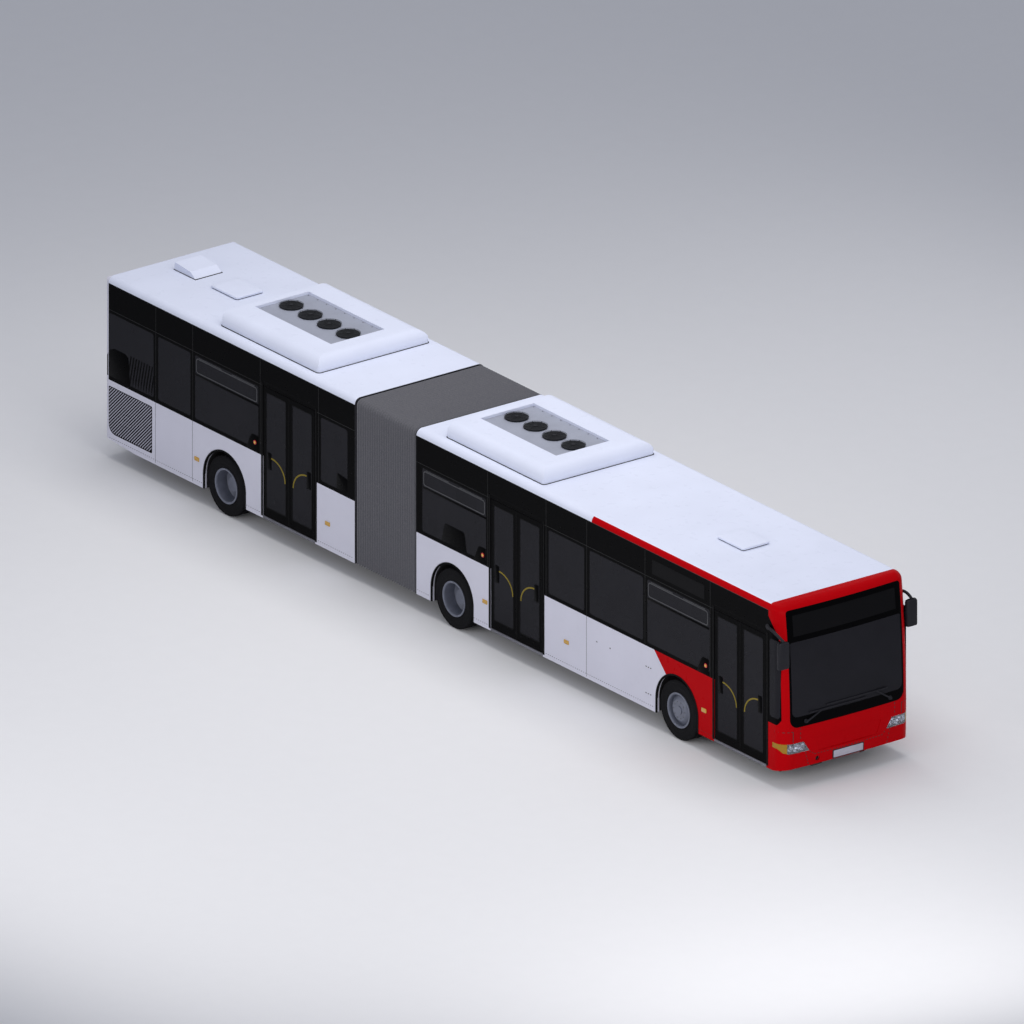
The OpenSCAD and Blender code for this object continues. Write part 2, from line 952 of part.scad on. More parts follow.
// Places a wheel drawn with its outer face along +Z
module on_hub(x, y, s) {
  translate([x, s * y, hub_z])
    rotate([-90 * s, 0, 0])
      children();
}

// Cross section of one tyre between two depths
module tyre_profile(w0, w1) {
  shoulder = 40;
  translate([rim_r + fit, w0 + 12])
    square([60, w1 - w0 - 24]);
  translate([rim_r + 50, w0 + shoulder / 2])
    square([tyre_r - rim_r - 50 - shoulder, w1 - w0 - shoulder]);
  translate([rim_r + 50, w0])
    square([60, w1 - w0]);
  round_rect([rim_r + 40, w0], [tyre_r, w1], shoulder);
}

module steer_tyre(s) {
  color("#191a1c")
    on_hub(front_axle_x, steer_wheel_y, s)
      rotate_extrude($fn = 96)
        tyre_profile(-steer_tyre_w / 2, steer_tyre_w / 2);
}

module twin_tyre(x, s) {
  color("#191a1c")
    on_hub(x, twin_wheel_y, s)
      rotate_extrude($fn = 96)
        for (side = [-1, 1])
          translate([0, side * (twin_gap + twin_tyre_w) / 2])
            tyre_profile(-twin_tyre_w / 2, twin_tyre_w / 2);
}

module steer_rim(s) {
  barrel = steer_tyre_w / 2 - 8;
  color("#46474c")
    on_hub(front_axle_x, steer_wheel_y, s)
      rotate_extrude($fn = 96) {
        translate([rim_in_r, -barrel])
          square([rim_t, 2 * barrel]);
        polygon([
          [rim_in_r + 2, 22], [rim_in_r + 2, 62], [170, stub_end + 8], [stub_r + 10, stub_end + 8],
          [stub_r + 10, stub_end - 20], [155, stub_end - 20]
        ]);
        translate([stub_r + pin_fit, 0])
          square([45, stub_end + 8]);
        translate([0, stub_end + 4])
          square([stub_r + 25, 18]);
      }
}

module twin_rim(x, s) {
  barrel = twin_w / 2 - 8;
  color("#46474c")
    on_hub(x, twin_wheel_y, s)
      rotate_extrude($fn = 96) {
        translate([rim_in_r, -barrel])
          square([rim_t, 2 * barrel]);
        polygon([
          [rim_in_r + 2, -20], [rim_in_r + 2, 90], [170, 30], [spindle_r + 10, 30],
          [spindle_r + 10, -28], [180, -28]
        ]);
        translate([spindle_r + pin_fit, -28])
          square([55, spindle_end + 33]);
        translate([0, spindle_end + 5])
          square([spindle_r + 55, 20]);
      }
}

module front_left_tyre() {
  steer_tyre(1);
}

module front_right_tyre() {
  steer_tyre(-1);
}

module middle_left_tyre() {
  twin_tyre(middle_axle_x, 1);
}

module middle_right_tyre() {
  twin_tyre(middle_axle_x, -1);
}

module rear_left_tyre() {
  twin_tyre(rear_axle_x, 1);
}

module rear_right_tyre() {
  twin_tyre(rear_axle_x, -1);
}

module front_left_rim() {
  steer_rim(1);
}

module front_right_rim() {
  steer_rim(-1);
}

module middle_left_rim() {
  twin_rim(middle_axle_x, 1);
}

module middle_right_rim() {
  twin_rim(middle_axle_x, -1);
}

module rear_left_rim() {
  twin_rim(rear_axle_x, 1);
}

module rear_right_rim() {
  twin_rim(rear_axle_x, -1);
}

// ---- doors ----

// Places a half door: the post at the origin, +X towards the other leaf, +Y inwards.
// f is 1 for the aft half and -1 for the fore half
module at_post(door_x, f) {
  translate([door_x - f * (door_w / 2 + post_jamb), -half_w + post_off, 0])
    scale([f, 1, 1])
      children();
}

module door_leaf() {
  y0 = -post_off;
  y1 = y0 + leaf_t;
  pin_z0 = bottom_arm_z - 3;
  difference() {
    box([leaf_x0, y0, leaf_z0], [leaf_x1, y1, leaf_z1]);
    for (y = [y0 - 10, y0 + 12])
      xz(y, y > y0 ? leaf_t : 12)
        round_rect([leaf_x0 + leaf_rail_rear, leaf_glass_z0], [leaf_x1 - leaf_rail_lead, leaf_glass_z1], 20);
  }
  // Brackets, pivot pins and the guide roller
  for (z = [leaf_z0, leaf_z1 - bracket_h]) {
    box([door_arm - 22, y1 - 1, z], [door_arm + 22, 0, z + bracket_h]);
    translate([door_arm, 0, z])
      cylinder(h = bracket_h, r = 17);
  }
  translate([door_arm, 0, pin_z0])
    cylinder(h = leaf_z0 + 1 - pin_z0, r = leaf_pin_r);
  translate([door_arm, 0, leaf_z1 - 1])
    cylinder(h = top_arm_z + arm_h + 3 - leaf_z1 + 1, r = leaf_pin_r);
  box([2 * door_arm - 15, y1 - 1, leaf_z1 - bracket_h], [2 * door_arm + 15, 0, leaf_z1]);
  translate([2 * door_arm, 0, leaf_z1 - bracket_h])
    cylinder(h = header_z - 8 - leaf_z1 + bracket_h, r = leaf_pin_r);
  translate([2 * door_arm, 0, header_z - 22])
    cylinder(h = 14, r = 15);
}

module door_post() {
  translate([0, 0, floor_z + fit])
    cylinder(h = header_z - floor_z - 2 * fit, r = post_r);
  for (z = [bottom_arm_z, top_arm_z])
    difference() {
      union() {
        box([0, -arm_w / 2, z], [door_arm, arm_w / 2, z + arm_h]);
        translate([door_arm, 0, z])
          cylinder(h = arm_h, r = eye_r);
      }
      translate([door_arm, 0, z - 1])
        cylinder(h = arm_h + 2, r = leaf_pin_r + pin_fit);
    }
}

module front_door_fore_leaf() {
  color("#111113")
    at_post(front_door_x, -1)
      door_leaf();
}

module front_door_aft_leaf() {
  color("#111113")
    at_post(front_door_x, 1)
      door_leaf();
}

module middle_door_fore_leaf() {
  color("#111113")
    at_post(middle_door_x, -1)
      door_leaf();
}

module middle_door_aft_leaf() {
  color("#111113")
    at_post(middle_door_x, 1)
      door_leaf();
}

module rear_door_fore_leaf() {
  color("#111113")
    at_post(rear_door_x, -1)
      door_leaf();
}

module rear_door_aft_leaf() {
  color("#111113")
    at_post(rear_door_x, 1)
      door_leaf();
}

module front_door_fore_post() {
  color("gray")
    at_post(front_door_x, -1)
      door_post();
}

module front_door_aft_post() {
  color("gray")
    at_post(front_door_x, 1)
      door_post();
}

module middle_door_fore_post() {
  color("gray")
    at_post(middle_door_x, -1)
      door_post();
}

module middle_door_aft_post() {
  color("gray")
    at_post(middle_door_x, 1)
      door_post();
}

module rear_door_fore_post() {
  color("gray")
    at_post(rear_door_x, -1)
      door_post();
}

module rear_door_aft_post() {
  color("gray")
    at_post(rear_door_x, 1)
      door_post();
}

// ---- inside ----

seat_w = 430;
seat_d = 430;
seat_h = 420;
seat_pad = 70;
seat_back_h = 620;

// Bench of n seats, facing +X, centred on x and y, on a base at height z
module bench(x, y, z, n) {
  w = n * seat_w;
  translate([x, y, z]) {
    box([-seat_d / 2, -w / 2, seat_h - seat_pad], [seat_d / 2, w / 2, seat_h]);
    box([-seat_d / 2 - seat_pad, -w / 2, seat_h - seat_pad], [-seat_d / 2, w / 2, seat_h + seat_back_h]);
    box([-60, -w / 2 + 60, 0], [60, w / 2 - 60, seat_h - seat_pad]);
  }
}

bench_y = inner_w - 12 - seat_w;
front_bench_x0 = middle_door_x + door_w / 2 + 600;
front_bench_x1 = front_axle_x - steer_arch_r - 330;

module front_seats() {
  color("royalblue") {
    for (x = [front_bench_x0, (front_bench_x0 + front_bench_x1) / 2, front_bench_x1])
      for (s = [-1, 1])
        bench(x, s * bench_y, floor_z, 2);
    for (s = [-1, 1])
      bench(middle_axle_x, s * (inner_w - 12 - seat_w / 2 - 130), arch_z + arch_r + box_t, 1);
    // Driver's seat on the platform
    bench(driver_x, driver_y, platform_z, 1);
  }
}

module rear_seats() {
  first = rear_axle_x + arch_r + 420;
  last = bellows_x0 - 300;
  color("royalblue") {
    for (x = [first, (first + last) / 2, last])
      bench(x, bench_y, floor_z, 2);
    bench(last, -bench_y, floor_z, 2);
    for (s = [-1, 1])
      bench(podium_x + 350, s * bench_y, floor_z, 2);
    bench(podium_x - 600, 0, podium_z, 4);
  }
}

driver_x = front_door_x - 100;
driver_y = 780;
platform_z = floor_z + 150;
cab_y = 360;
cab_back_x = driver_x - 420;
dash_x = nose_x - 420;
dash_y = 520;

module driver_cab() {
  dash_z = 1020;
  wheel_x = driver_x + 480;
  color("#2b2b30") {
    // Platform and the partition behind the driver
    box([cab_back_x, cab_y, floor_z], [dash_x + 40, inner_w - 12, platform_z]);
    box([cab_back_x, cab_y, floor_z], [cab_back_x + 40, inner_w - 12, 2100]);
    // Low cab door towards the aisle
    box([cab_back_x, cab_y, floor_z], [driver_x + 300, cab_y + 40, 1350]);
    // Dashboard across the nose
    box([dash_x, -dash_y, floor_z], [dash_x + 200, 1100, dash_z]);
    box([dash_x - 120, cab_y, platform_z], [dash_x + 1, 1150, dash_z]);
    // Steering column and wheel
    translate([wheel_x, driver_y, 0])
      rotate([0, 20, 0])
        translate([-platform_z * 0.36, 0, 0]) {
          translate([0, 0, platform_z + 30])
            cylinder(h = 620, r = 30);
          translate([0, 0, platform_z + 640])
            rotate_extrude($fn = 48)
              translate([225, 0])
                circle(17, $fn = 24);
          for (a = [0, 120, 240])
            rotate([0, 0, a])
              box([0, -20, platform_z + 632], [225, 20, platform_z + 646]);
        }
  }
}

pole_r = 17;
pole_y = 315;
ceiling_z = roof_z - wall_t;

// Pole from the floor to the ceiling
module pole(x, y) {
  translate([x, y, floor_z])
    cylinder(h = ceiling_z - floor_z, r = pole_r);
}

// Rail along the bus at height z, hung from the ceiling by its end posts
module grab_rail(x0, x1, y) {
  rail_z = 2250;
  translate([x0, y, rail_z])
    rotate([0, 90, 0])
      cylinder(h = x1 - x0, r = pole_r);
  for (x = [x0, (x0 + x1) / 2, x1])
    translate([x, y, rail_z])
      cylinder(h = ceiling_z - rail_z, r = pole_r);
}

module front_handrails() {
  color("gold") {
    for (s = [-1, 1]) {
      pole(front_bench_x0 - 330, s * pole_y);
      pole(front_bench_x1 + 260, s * pole_y);
      grab_rail(front_bench_x0 - 330, front_bench_x1 + 260, s * pole_y);
      grab_rail(middle_axle_x - 600, middle_axle_x + 600, s * pole_y);
    }
  }
}

module rear_handrails() {
  first = rear_axle_x + arch_r + 120;
  last = bellows_x0 - 120;
  color("gold") {
    for (s = [-1, 1]) {
      pole(first, s * pole_y);
      pole(last, s * pole_y);
      grab_rail(first, last, s * pole_y);
    }
  }
}

module engine() {
  color("dimgray") {
    box([tail_x + 260, -520, 330], [podium_x - 60, 520, podium_z - 70]);
    for (x = [tail_x + 320, podium_x - 260])
      for (s = [-1, 1])
        box([x, s * rail_y - 40, floor_z0], [x + 140, s * rail_y + 40, 331]);
  }
}

// ---- roof equipment ----

pod_r = 200;
plate_w = 1060;
plate_l = 2000;
plate_d = 45;
fan_r = 190;
fan_h = 25;

// Air conditioner with a sunk plate and four fans; x is its rear end
module air_conditioner(x) {
  plate_x = 150;
  color("gainsboro")
    translate([x, 0, roof_z])
      difference() {
        intersection() {
          yz(pod_l)
            round_rect([-pod_w / 2, -pod_r], [pod_w / 2, pod_h], pod_r);
          xz(-pod_w / 2, pod_w)
            union() {
              square([pod_l - pod_r, pod_h]);
              square([pod_l, pod_h - pod_r]);
              translate([pod_l - pod_r, pod_h - pod_r])
                circle(pod_r);
            }
          linear_extrude(pod_h)
            round_rect([0, -pod_w / 2], [pod_l, pod_w / 2], 60);
        }
        box([plate_x, -plate_w / 2, pod_h - plate_d], [plate_x + plate_l, plate_w / 2, pod_h + 10]);
      }
  color("#27282b")
    for (k = [0:3])
      translate([x + plate_x + (k + 0.5) * plate_l / 4, 0, roof_z + pod_h - plate_d - 1])
        cylinder(h = fan_h, r = fan_r);
}

pod_off = 340;

module front_air_conditioner() {
  air_conditioner(bellows_x1 + pod_off + 200);
}

module rear_air_conditioner() {
  air_conditioner(rear_axle_x - pod_off);
}

module hatch(x) {
  color("gainsboro")
    translate([0, 0, roof_z])
      linear_extrude(55)
        round_rect([x, -270], [x + 700, 270], 60);
}

module front_roof_hatch() {
  hatch(front_axle_x - 300);
}

module rear_roof_hatch() {
  hatch(tail_x + 1460);
}

module roof_vent_cowl() {
  x = tail_x + 500;
  color("gainsboro")
    xz(-260, 520)
      polygon([
        [x, roof_z], [x + 560, roof_z], [x + 420, roof_z + 95], [x + 20, roof_z + 130]
      ]);
}

// ---- outside fittings ----

mirror_out = 110;

// Mirror on side s: an arm from the pillar's top, and the housing that hangs from it
module mirror(s, x, y) {
  arm_x = mask_x + 60;
  arm_z = 2640;
  arm_r = 26;
  housing = [110, 220, 490];
  top = arm_z - 30;
  scale([1, s, 1]) {
    translate([arm_x, half_w + fit, arm_z])
      rotate([-90, 0, 0])
        cylinder(h = y - half_w - fit, r = arm_r);
    translate([arm_x, y, arm_z])
      sphere(arm_r);
    translate([arm_x, y, arm_z])
      rotate([0, 90, 0])
        cylinder(h = x - arm_x, r = arm_r);
    translate([x - housing.x / 2, y - housing.y / 2, top - housing.z])
      linear_extrude(housing.z + 34)
        round_rect([0, 0], [housing.x, housing.y], 45);
  }
}

module mirrors() {
  color("#2b2b30") {
    mirror(-1, nose_x + mirror_reach - 55, half_w + mirror_out);
    mirror(1, mask_x + 260, half_w + mirror_out);
  }
}

// Position along the bus of the glass where a wiper's pivot stands
function face_x(y) =
  nose_x - nose_bow_r
  + (nose_bow_r - 1 - y * nose_ys[3] / nose_bow_r) / cos(asin(nose_ys[3] / nose_bow_r));

// Wiper on side s: pivot, arm and blade in front of the glass
module wiper(s, blade_z, reach) {
  pivot_y = 830;
  pivot_z = 1120;
  pivot_r = 22;
  x = nose_x + 3;
  base_x = face_x(pivot_y - pivot_r) + fit;
  scale([1, s, 1]) {
    translate([base_x, pivot_y, pivot_z])
      rotate([0, 90, 0])
        cylinder(h = x + 18 - base_x, r = pivot_r);
    translate([x + 4, 0, 0])
      yz(14)
        polygon([
          [pivot_y - 6, pivot_z - 14], [pivot_y + 6, pivot_z + 14],
          [pivot_y - 300, blade_z + 12], [pivot_y - 300, blade_z - 10]
        ]);
    box([x, pivot_y - reach, blade_z - 10], [x + 12, pivot_y - 60, blade_z + 10]);
  }
}

module wipers() {
  color("black") {
    wiper(-1, 1255, 1180);
    wiper(1, 1315, 1270);
  }
}

front_floor();
front_right_wall();
front_left_wall();
front_roof();
front_mask();
windscreen();
front_windows();
headlamps();
mirrors();
wipers();
driver_cab();
front_seats();
front_handrails();
front_air_conditioner();
front_roof_hatch();
front_axle();
middle_axle();
turntable();
bellows();
rear_floor();
rear_right_wall();
rear_left_wall();
rear_roof();
tail_panel();
rear_windows();
tail_lamps();
rear_seats();
rear_handrails();
rear_air_conditioner();
rear_roof_hatch();
roof_vent_cowl();
engine();
rear_axle();
engine_lid();
left_knuckle();
right_knuckle();
front_left_tyre();
front_right_tyre();
middle_left_tyre();
middle_right_tyre();
rear_left_tyre();
rear_right_tyre();
front_left_rim();
front_right_rim();
middle_left_rim();
middle_right_rim();
rear_left_rim();
rear_right_rim();
front_door_fore_leaf();
front_door_aft_leaf();
middle_door_fore_leaf();
middle_door_aft_leaf();
rear_door_fore_leaf();
rear_door_aft_leaf();
front_door_fore_post();
front_door_aft_post();
middle_door_fore_post();
middle_door_aft_post();
rear_door_fore_post();
rear_door_aft_post();
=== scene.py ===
import math

import bmesh
import bpy
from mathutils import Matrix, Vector


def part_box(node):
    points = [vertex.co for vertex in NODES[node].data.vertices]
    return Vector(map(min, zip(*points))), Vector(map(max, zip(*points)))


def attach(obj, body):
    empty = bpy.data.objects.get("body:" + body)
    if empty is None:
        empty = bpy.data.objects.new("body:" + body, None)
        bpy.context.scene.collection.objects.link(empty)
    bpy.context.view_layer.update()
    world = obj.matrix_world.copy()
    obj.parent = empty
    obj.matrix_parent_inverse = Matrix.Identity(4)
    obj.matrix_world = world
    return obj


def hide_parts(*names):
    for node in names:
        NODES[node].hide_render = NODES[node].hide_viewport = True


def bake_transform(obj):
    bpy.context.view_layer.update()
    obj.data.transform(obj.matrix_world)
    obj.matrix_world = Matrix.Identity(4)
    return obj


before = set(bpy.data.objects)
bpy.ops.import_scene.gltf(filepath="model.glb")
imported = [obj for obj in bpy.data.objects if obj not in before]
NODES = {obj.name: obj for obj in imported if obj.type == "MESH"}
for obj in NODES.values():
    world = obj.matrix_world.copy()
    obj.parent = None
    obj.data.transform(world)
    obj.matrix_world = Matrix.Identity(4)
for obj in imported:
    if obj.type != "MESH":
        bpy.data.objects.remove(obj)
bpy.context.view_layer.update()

# ---- sizes taken from the frame, in metres ----

SIDE = -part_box("front_right_wall")[0][1]
SKIRT = 0.293
BELT = 1.35
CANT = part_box("front_right_wall")[1][2]
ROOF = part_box("front_roof")[1][2]
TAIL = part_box("tail_panel")[0][0]
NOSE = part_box("front_mask")[1][0]
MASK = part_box("front_mask")[0][0]
BELLOWS = (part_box("bellows")[0][0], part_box("bellows")[1][0])
AXLES = {}
for place in ("front", "middle", "rear"):
    low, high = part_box(place + "_left_rim")
    AXLES[place] = ((low[0] + high[0]) / 2, (low[2] + high[2]) / 2)
TYRE_R = 0.5
ARCH_R = 0.551
ARCH_Z = AXLES["front"][1] + 0.041
DOORS = {}
for place in ("front", "middle", "rear"):
    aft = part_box(place + "_door_aft_leaf")
    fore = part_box(place + "_door_fore_leaf")
    DOORS[place] = (aft[0][0] + fore[1][0]) / 2
DOOR_HALF = 0.69
SECTION = {"front": "front_section", "middle": "front_section", "rear": "rear_section"}
LIFT = 0.0012

# ---- materials ----


def linear(r, g, b):
    """An sRGB colour of 0 to 255 as linear numbers."""
    out = []
    for c in (r, g, b):
        c /= 255
        out.append(c / 12.92 if c <= 0.04045 else ((c + 0.055) / 1.055) ** 2.4)
    return (*out, 1)


class Mat:
    """A material whose nodes are added by short calls."""

    def __init__(self, name):
        self.mat = bpy.data.materials.new(name)
        self.mat.use_nodes = True
        self.tree = self.mat.node_tree
        self.tree.nodes.clear()
        self.bsdf = self.node("BsdfPrincipled")
        out = self.node("OutputMaterial")
        self.link(self.bsdf.outputs[0], out.inputs[0])
        self.coords = self.node("TexCoord").outputs["Object"]

    def node(self, kind, **values):
        n = self.tree.nodes.new("ShaderNode" + kind)
        for key, value in values.items():
            if hasattr(n, key):
                setattr(n, key, value)
            else:
                n.inputs[key].default_value = value
        return n

    def link(self, a, b):
        self.tree.links.new(a, b)

    def set(self, name, value):
        self.bsdf.inputs[name].default_value = value

    def noise(self, scale, detail=4.0, stretch=None):
        n = self.node("TexNoise", Scale=scale, Detail=detail)
        if stretch:
            m = self.node("Mapping")
            m.inputs["Scale"].default_value = stretch
            self.link(self.coords, m.inputs["Vector"])
            self.link(m.outputs[0], n.inputs["Vector"])
        else:
            self.link(self.coords, n.inputs["Vector"])
        return n.outputs[0]

    def math(self, op, a, b, c=None):
        n = self.node("Math", operation=op)
        for k, x in enumerate((a, b, c)):
            if x is None:
                continue
            if isinstance(x, (int, float)):
                n.inputs[k].default_value = x
            else:
                self.link(x, n.inputs[k])
        return n.outputs[0]

    def mix(self, factor, a, b):
        n = self.node("Mix", data_type="RGBA")
        for socket, x in ((n.inputs[0], factor), (n.inputs[6], a), (n.inputs[7], b)):
            if isinstance(x, (int, float, tuple)):
                socket.default_value = x
            else:
                self.link(x, socket)
        return n.outputs[2]

    def spread(self, value, low, high):
        n = self.node("MapRange")
        self.link(value, n.inputs["Value"])
        n.inputs["From Min"].default_value = 0.3
        n.inputs["From Max"].default_value = 0.7
        n.inputs["To Min"].default_value = low
        n.inputs["To Max"].default_value = high
        return n.outputs[0]

    def xyz(self):
        n = self.node("SeparateXYZ")
        self.link(self.coords, n.inputs[0])
        return n.outputs

    def both(self, *factors):
        out = factors[0]
        for f in factors[1:]:
            out = self.math("MULTIPLY", out, f)
        return out

    def bump(self, value, strength, distance):
        n = self.node("Bump", Strength=strength, Distance=distance)
        self.link(value, n.inputs["Height"])
        self.link(n.outputs[0], self.bsdf.inputs["Normal"])


def shades(m, colour, amount, scale):
    """Two close shades of a colour, mixed by slow noise."""
    dark = tuple(c * (1 - amount) for c in colour[:3]) + (1,)
    pale = tuple(min(c * (1 + amount), 1) for c in colour[:3]) + (1,)
    return m.mix(m.spread(m.noise(scale), 0, 1), dark, pale)


def surface(name, colour, rough, shade=0.05, scale=3.0, grain=None, metallic=0.0, coat=0.0,
            specular=0.5, sheen=0.0):
    """A finish with slow colour change, uneven gloss and an optional fine grain."""
    m = Mat(name)
    m.link(shades(m, linear(*colour), shade, scale), m.bsdf.inputs["Base Color"])
    m.link(m.spread(m.noise(scale * 6), rough * 0.85, rough * 1.15), m.bsdf.inputs["Roughness"])
    m.set("Metallic", metallic)
    m.set("Coat Weight", coat)
    m.set("Coat Roughness", 0.05)
    m.set("Specular IOR Level", specular)
    m.set("Sheen Weight", sheen)
    if grain:
        m.bump(m.noise(grain[0], 2.0), grain[1], grain[2])
    return m.mat


WHITE = linear(205, 205, 218)
# The roof's white is the body white painted lighter and bluer for the top surfaces: a painted
# skylit highlight.
ROOF_WHITE_LIT = linear(214, 219, 236)
RED = linear(172, 4, 12)
BLACK = linear(5, 5, 6)


def paint(name, zones, base=WHITE):
    """Body paint: a base colour with the others laid over it where the zones say."""
    m = Mat(name)
    colour = shades(m, base, 0.02, 1.5)
    for test, shade in zones(m):
        colour = m.mix(test, colour, shade)
    m.link(colour, m.bsdf.inputs["Base Color"])
    m.link(m.spread(m.noise(8.0), 0.26, 0.34), m.bsdf.inputs["Roughness"])
    m.set("Specular IOR Level", 0.02)
    return m.mat


# The red front starts behind the front arch, along a slanting edge
RED_X = 5.45
RED_SLOPE = 0.966
STRIP_X = 3.80
STRIP_Z = 3.083


def wall_zones(m):
    x, y, z = m.xyz()
    slant = m.math("MULTIPLY_ADD", m.math("SUBTRACT", BELT, z), RED_SLOPE, RED_X)
    below = m.math("LESS_THAN", z, BELT)
    post = m.both(m.math("GREATER_THAN", x, DOORS["front"] + DOOR_HALF),
                  m.math("GREATER_THAN", z, 1.09), m.math("LESS_THAN", y, 0))
    return [
        (m.both(m.math("GREATER_THAN", x, slant), below), RED),
        (m.math("SUBTRACT", 1, below), BLACK),
        (post, BLACK),
    ]


def roof_zones(m):
    x, _, z = m.xyz()
    return [(m.both(m.math("GREATER_THAN", x, STRIP_X), m.math("LESS_THAN", z, STRIP_Z)), RED)]


def tail_zones(m):
    _, y, z = m.xyz()
    return [(m.both(m.math("GREATER_THAN", z, 1.56), m.math("LESS_THAN", z, 2.72),
                    m.math("LESS_THAN", m.math("ABSOLUTE", y, 0), 0.95)), BLACK)]


BAND_FRONT = 8.756
BAND_TOP = 2.55


def mask_zones(m):
    x, y, z = m.xyz()
    rise = m.math("MAXIMUM", m.math("SUBTRACT", z, BAND_TOP), 0)
    curve = m.math("MULTIPLY", m.math("POWER", rise, 1.5), 0.9)
    back = m.math("DIVIDE", m.math("POWER", m.math("SUBTRACT", z, 1.0), 2), 33.0)
    edge = m.math("SUBTRACT", m.math("SUBTRACT", BAND_FRONT, curve), back)
    sink = m.math("MAXIMUM", m.math("SUBTRACT", x, BAND_FRONT - 0.1), 0)
    low = m.math("MULTIPLY_ADD", m.math("POWER", sink, 2), 10.0, 1.09)
    side = m.math("GREATER_THAN", m.math("ABSOLUTE", y, 0), 1.158)
    black = m.both(side, m.math("LESS_THAN", x, edge), m.math("GREATER_THAN", z, low),
                   m.math("LESS_THAN", z, CANT))
    return [(m.math("GREATER_THAN", z, -1), RED), (black, BLACK)]


wall_paint = paint("side_paint", wall_zones)
# The roof, its units, hatches and cowl take the lighter, bluer white: a painted skylit highlight on
# the top surfaces.
roof_paint = paint("roof_paint", roof_zones, ROOF_WHITE_LIT)
tail_paint = paint("tail_paint", tail_zones)
mask_paint = paint("mask_paint", mask_zones)


def tinted(name, colour, rough=0.04, specular=0.35, through=0.88):
    """Dark glass that lets a little light through."""
    m = Mat(name)
    m.link(shades(m, colour, 0.08, 2.0), m.bsdf.inputs["Base Color"])
    m.link(m.spread(m.noise(5.0), rough * 0.7, rough * 1.3), m.bsdf.inputs["Roughness"])
    m.set("Transmission Weight", through)
    m.set("IOR", 1.3)
    m.set("Specular IOR Level", specular)
    return m.mat


def weave(name, colour, other, pitch, sheen=0.3, shade=None):
    """Woven cloth: two crossed sets of threads. shade names an attribute whose value paints shade
    onto the cloth, darkening it towards black.
    """
    m = Mat(name)
    x, y, z = m.xyz()
    turn = 2 * math.pi / pitch
    a = m.math("SINE", m.math("MULTIPLY", m.math("ADD", x, z), turn), 0)
    b = m.math("SINE", m.math("MULTIPLY", m.math("ADD", y, z), turn), 0)
    threads = m.math("MULTIPLY", a, b)
    fleck = m.spread(m.noise(60.0), 0, 1)
    cloth = m.mix(fleck, linear(*colour), linear(*other))
    if shade:
        # Painted shade: the attribute mixes the cloth up to 45 % towards near black.
        depth = m.node("Attribute", attribute_name=shade).outputs["Fac"]
        cloth = m.mix(m.math("MULTIPLY", depth, 0.45), cloth, (0.01, 0.01, 0.012, 1))
    m.link(cloth, m.bsdf.inputs["Base Color"])
    m.link(m.spread(m.noise(30.0), 0.75, 0.95), m.bsdf.inputs["Roughness"])
    m.set("Sheen Weight", sheen)
    m.bump(threads, 0.35, 0.0008)
    return m.mat


black_gloss = surface("black_gloss", (5, 5, 6), 0.3, specular=0.02)
seam_dark = surface("seam_filler", (16, 16, 18), 0.6)
glass_dark = tinted("tinted_glass", linear(35, 35, 40), 0.08, 0.04, 0.22)
glass_screen = tinted("screen_glass", linear(36, 36, 41), 0.08, 0.04, 0.22)
lens_clear = tinted("lamp_lens", linear(214, 216, 224), 0.05, 0.5)
lens_amber = tinted("amber_lens", linear(178, 138, 48), 0.12, 0.3, 0.3)
lens_red = tinted("red_lens", linear(196, 16, 14), 0.12, 0.5)
slat_grey = surface("slat_paint", (158, 158, 172), 0.4, grain=(60.0, 0.02, 0.0004))
display_dark = surface("display_face", (15, 15, 17), 0.4, specular=0.04)
grained_black = surface("grained_plastic", (30, 30, 35), 0.55, grain=(320.0, 0.2, 0.0005),
                        specular=0.15)
rubber = surface("seal_rubber", (14, 14, 15), 0.7, grain=(200.0, 0.15, 0.0005), specular=0.08)
tyre_rubber = surface("tyre_rubber", (22, 22, 24), 0.8, shade=0.12, scale=12.0,
                      grain=(160.0, 0.25, 0.0008), specular=0.08)
wheel_grey = surface("wheel_paint", (104, 108, 122), 0.42, shade=0.1, scale=8.0, metallic=0.2,
                     grain=(120.0, 0.1, 0.0006))
bare_steel = surface("bare_steel", (120, 122, 128), 0.35, shade=0.15, scale=30.0, metallic=0.9,
                     grain=(150.0, 0.15, 0.0005))
chassis = surface("underseal", (34, 33, 34), 0.75, shade=0.25, scale=9.0,
                  grain=(90.0, 0.4, 0.002))
cast_iron = surface("cast_iron", (52, 51, 50), 0.7, shade=0.2, scale=25.0, metallic=0.5,
                    grain=(180.0, 0.4, 0.0012))
aluminium = surface("aluminium", (132, 132, 140), 0.42, shade=0.08, scale=10.0, metallic=0.8,
                    grain=(260.0, 0.12, 0.0004))
rail_yellow = surface("rail_coat", (128, 112, 34), 0.35, specular=0.1)
yellow = surface("yellow_coat", (214, 178, 36), 0.3, coat=0.4, grain=(500.0, 0.08, 0.0003))
mirror_glass = surface("mirror_glass", (205, 210, 216), 0.05, shade=0.01, metallic=1.0)
reflector = surface("reflector", (206, 208, 212), 0.12, shade=0.03, metallic=1.0)
plate_blank = surface("blank_plate", (168, 166, 178), 0.35, grain=(300.0, 0.08, 0.0003))
vent_grey = surface("vent_frame", (46, 47, 51), 0.4, grain=(260.0, 0.2, 0.0005))
trim_grey = surface("cab_trim", (74, 75, 80), 0.6, grain=(260.0, 0.3, 0.0008))
shell_grey = surface("seat_shell", (92, 96, 106), 0.45, grain=(240.0, 0.2, 0.0006))
seat_cloth = weave("seat_cloth", (34, 46, 108), (66, 74, 128), 0.004)
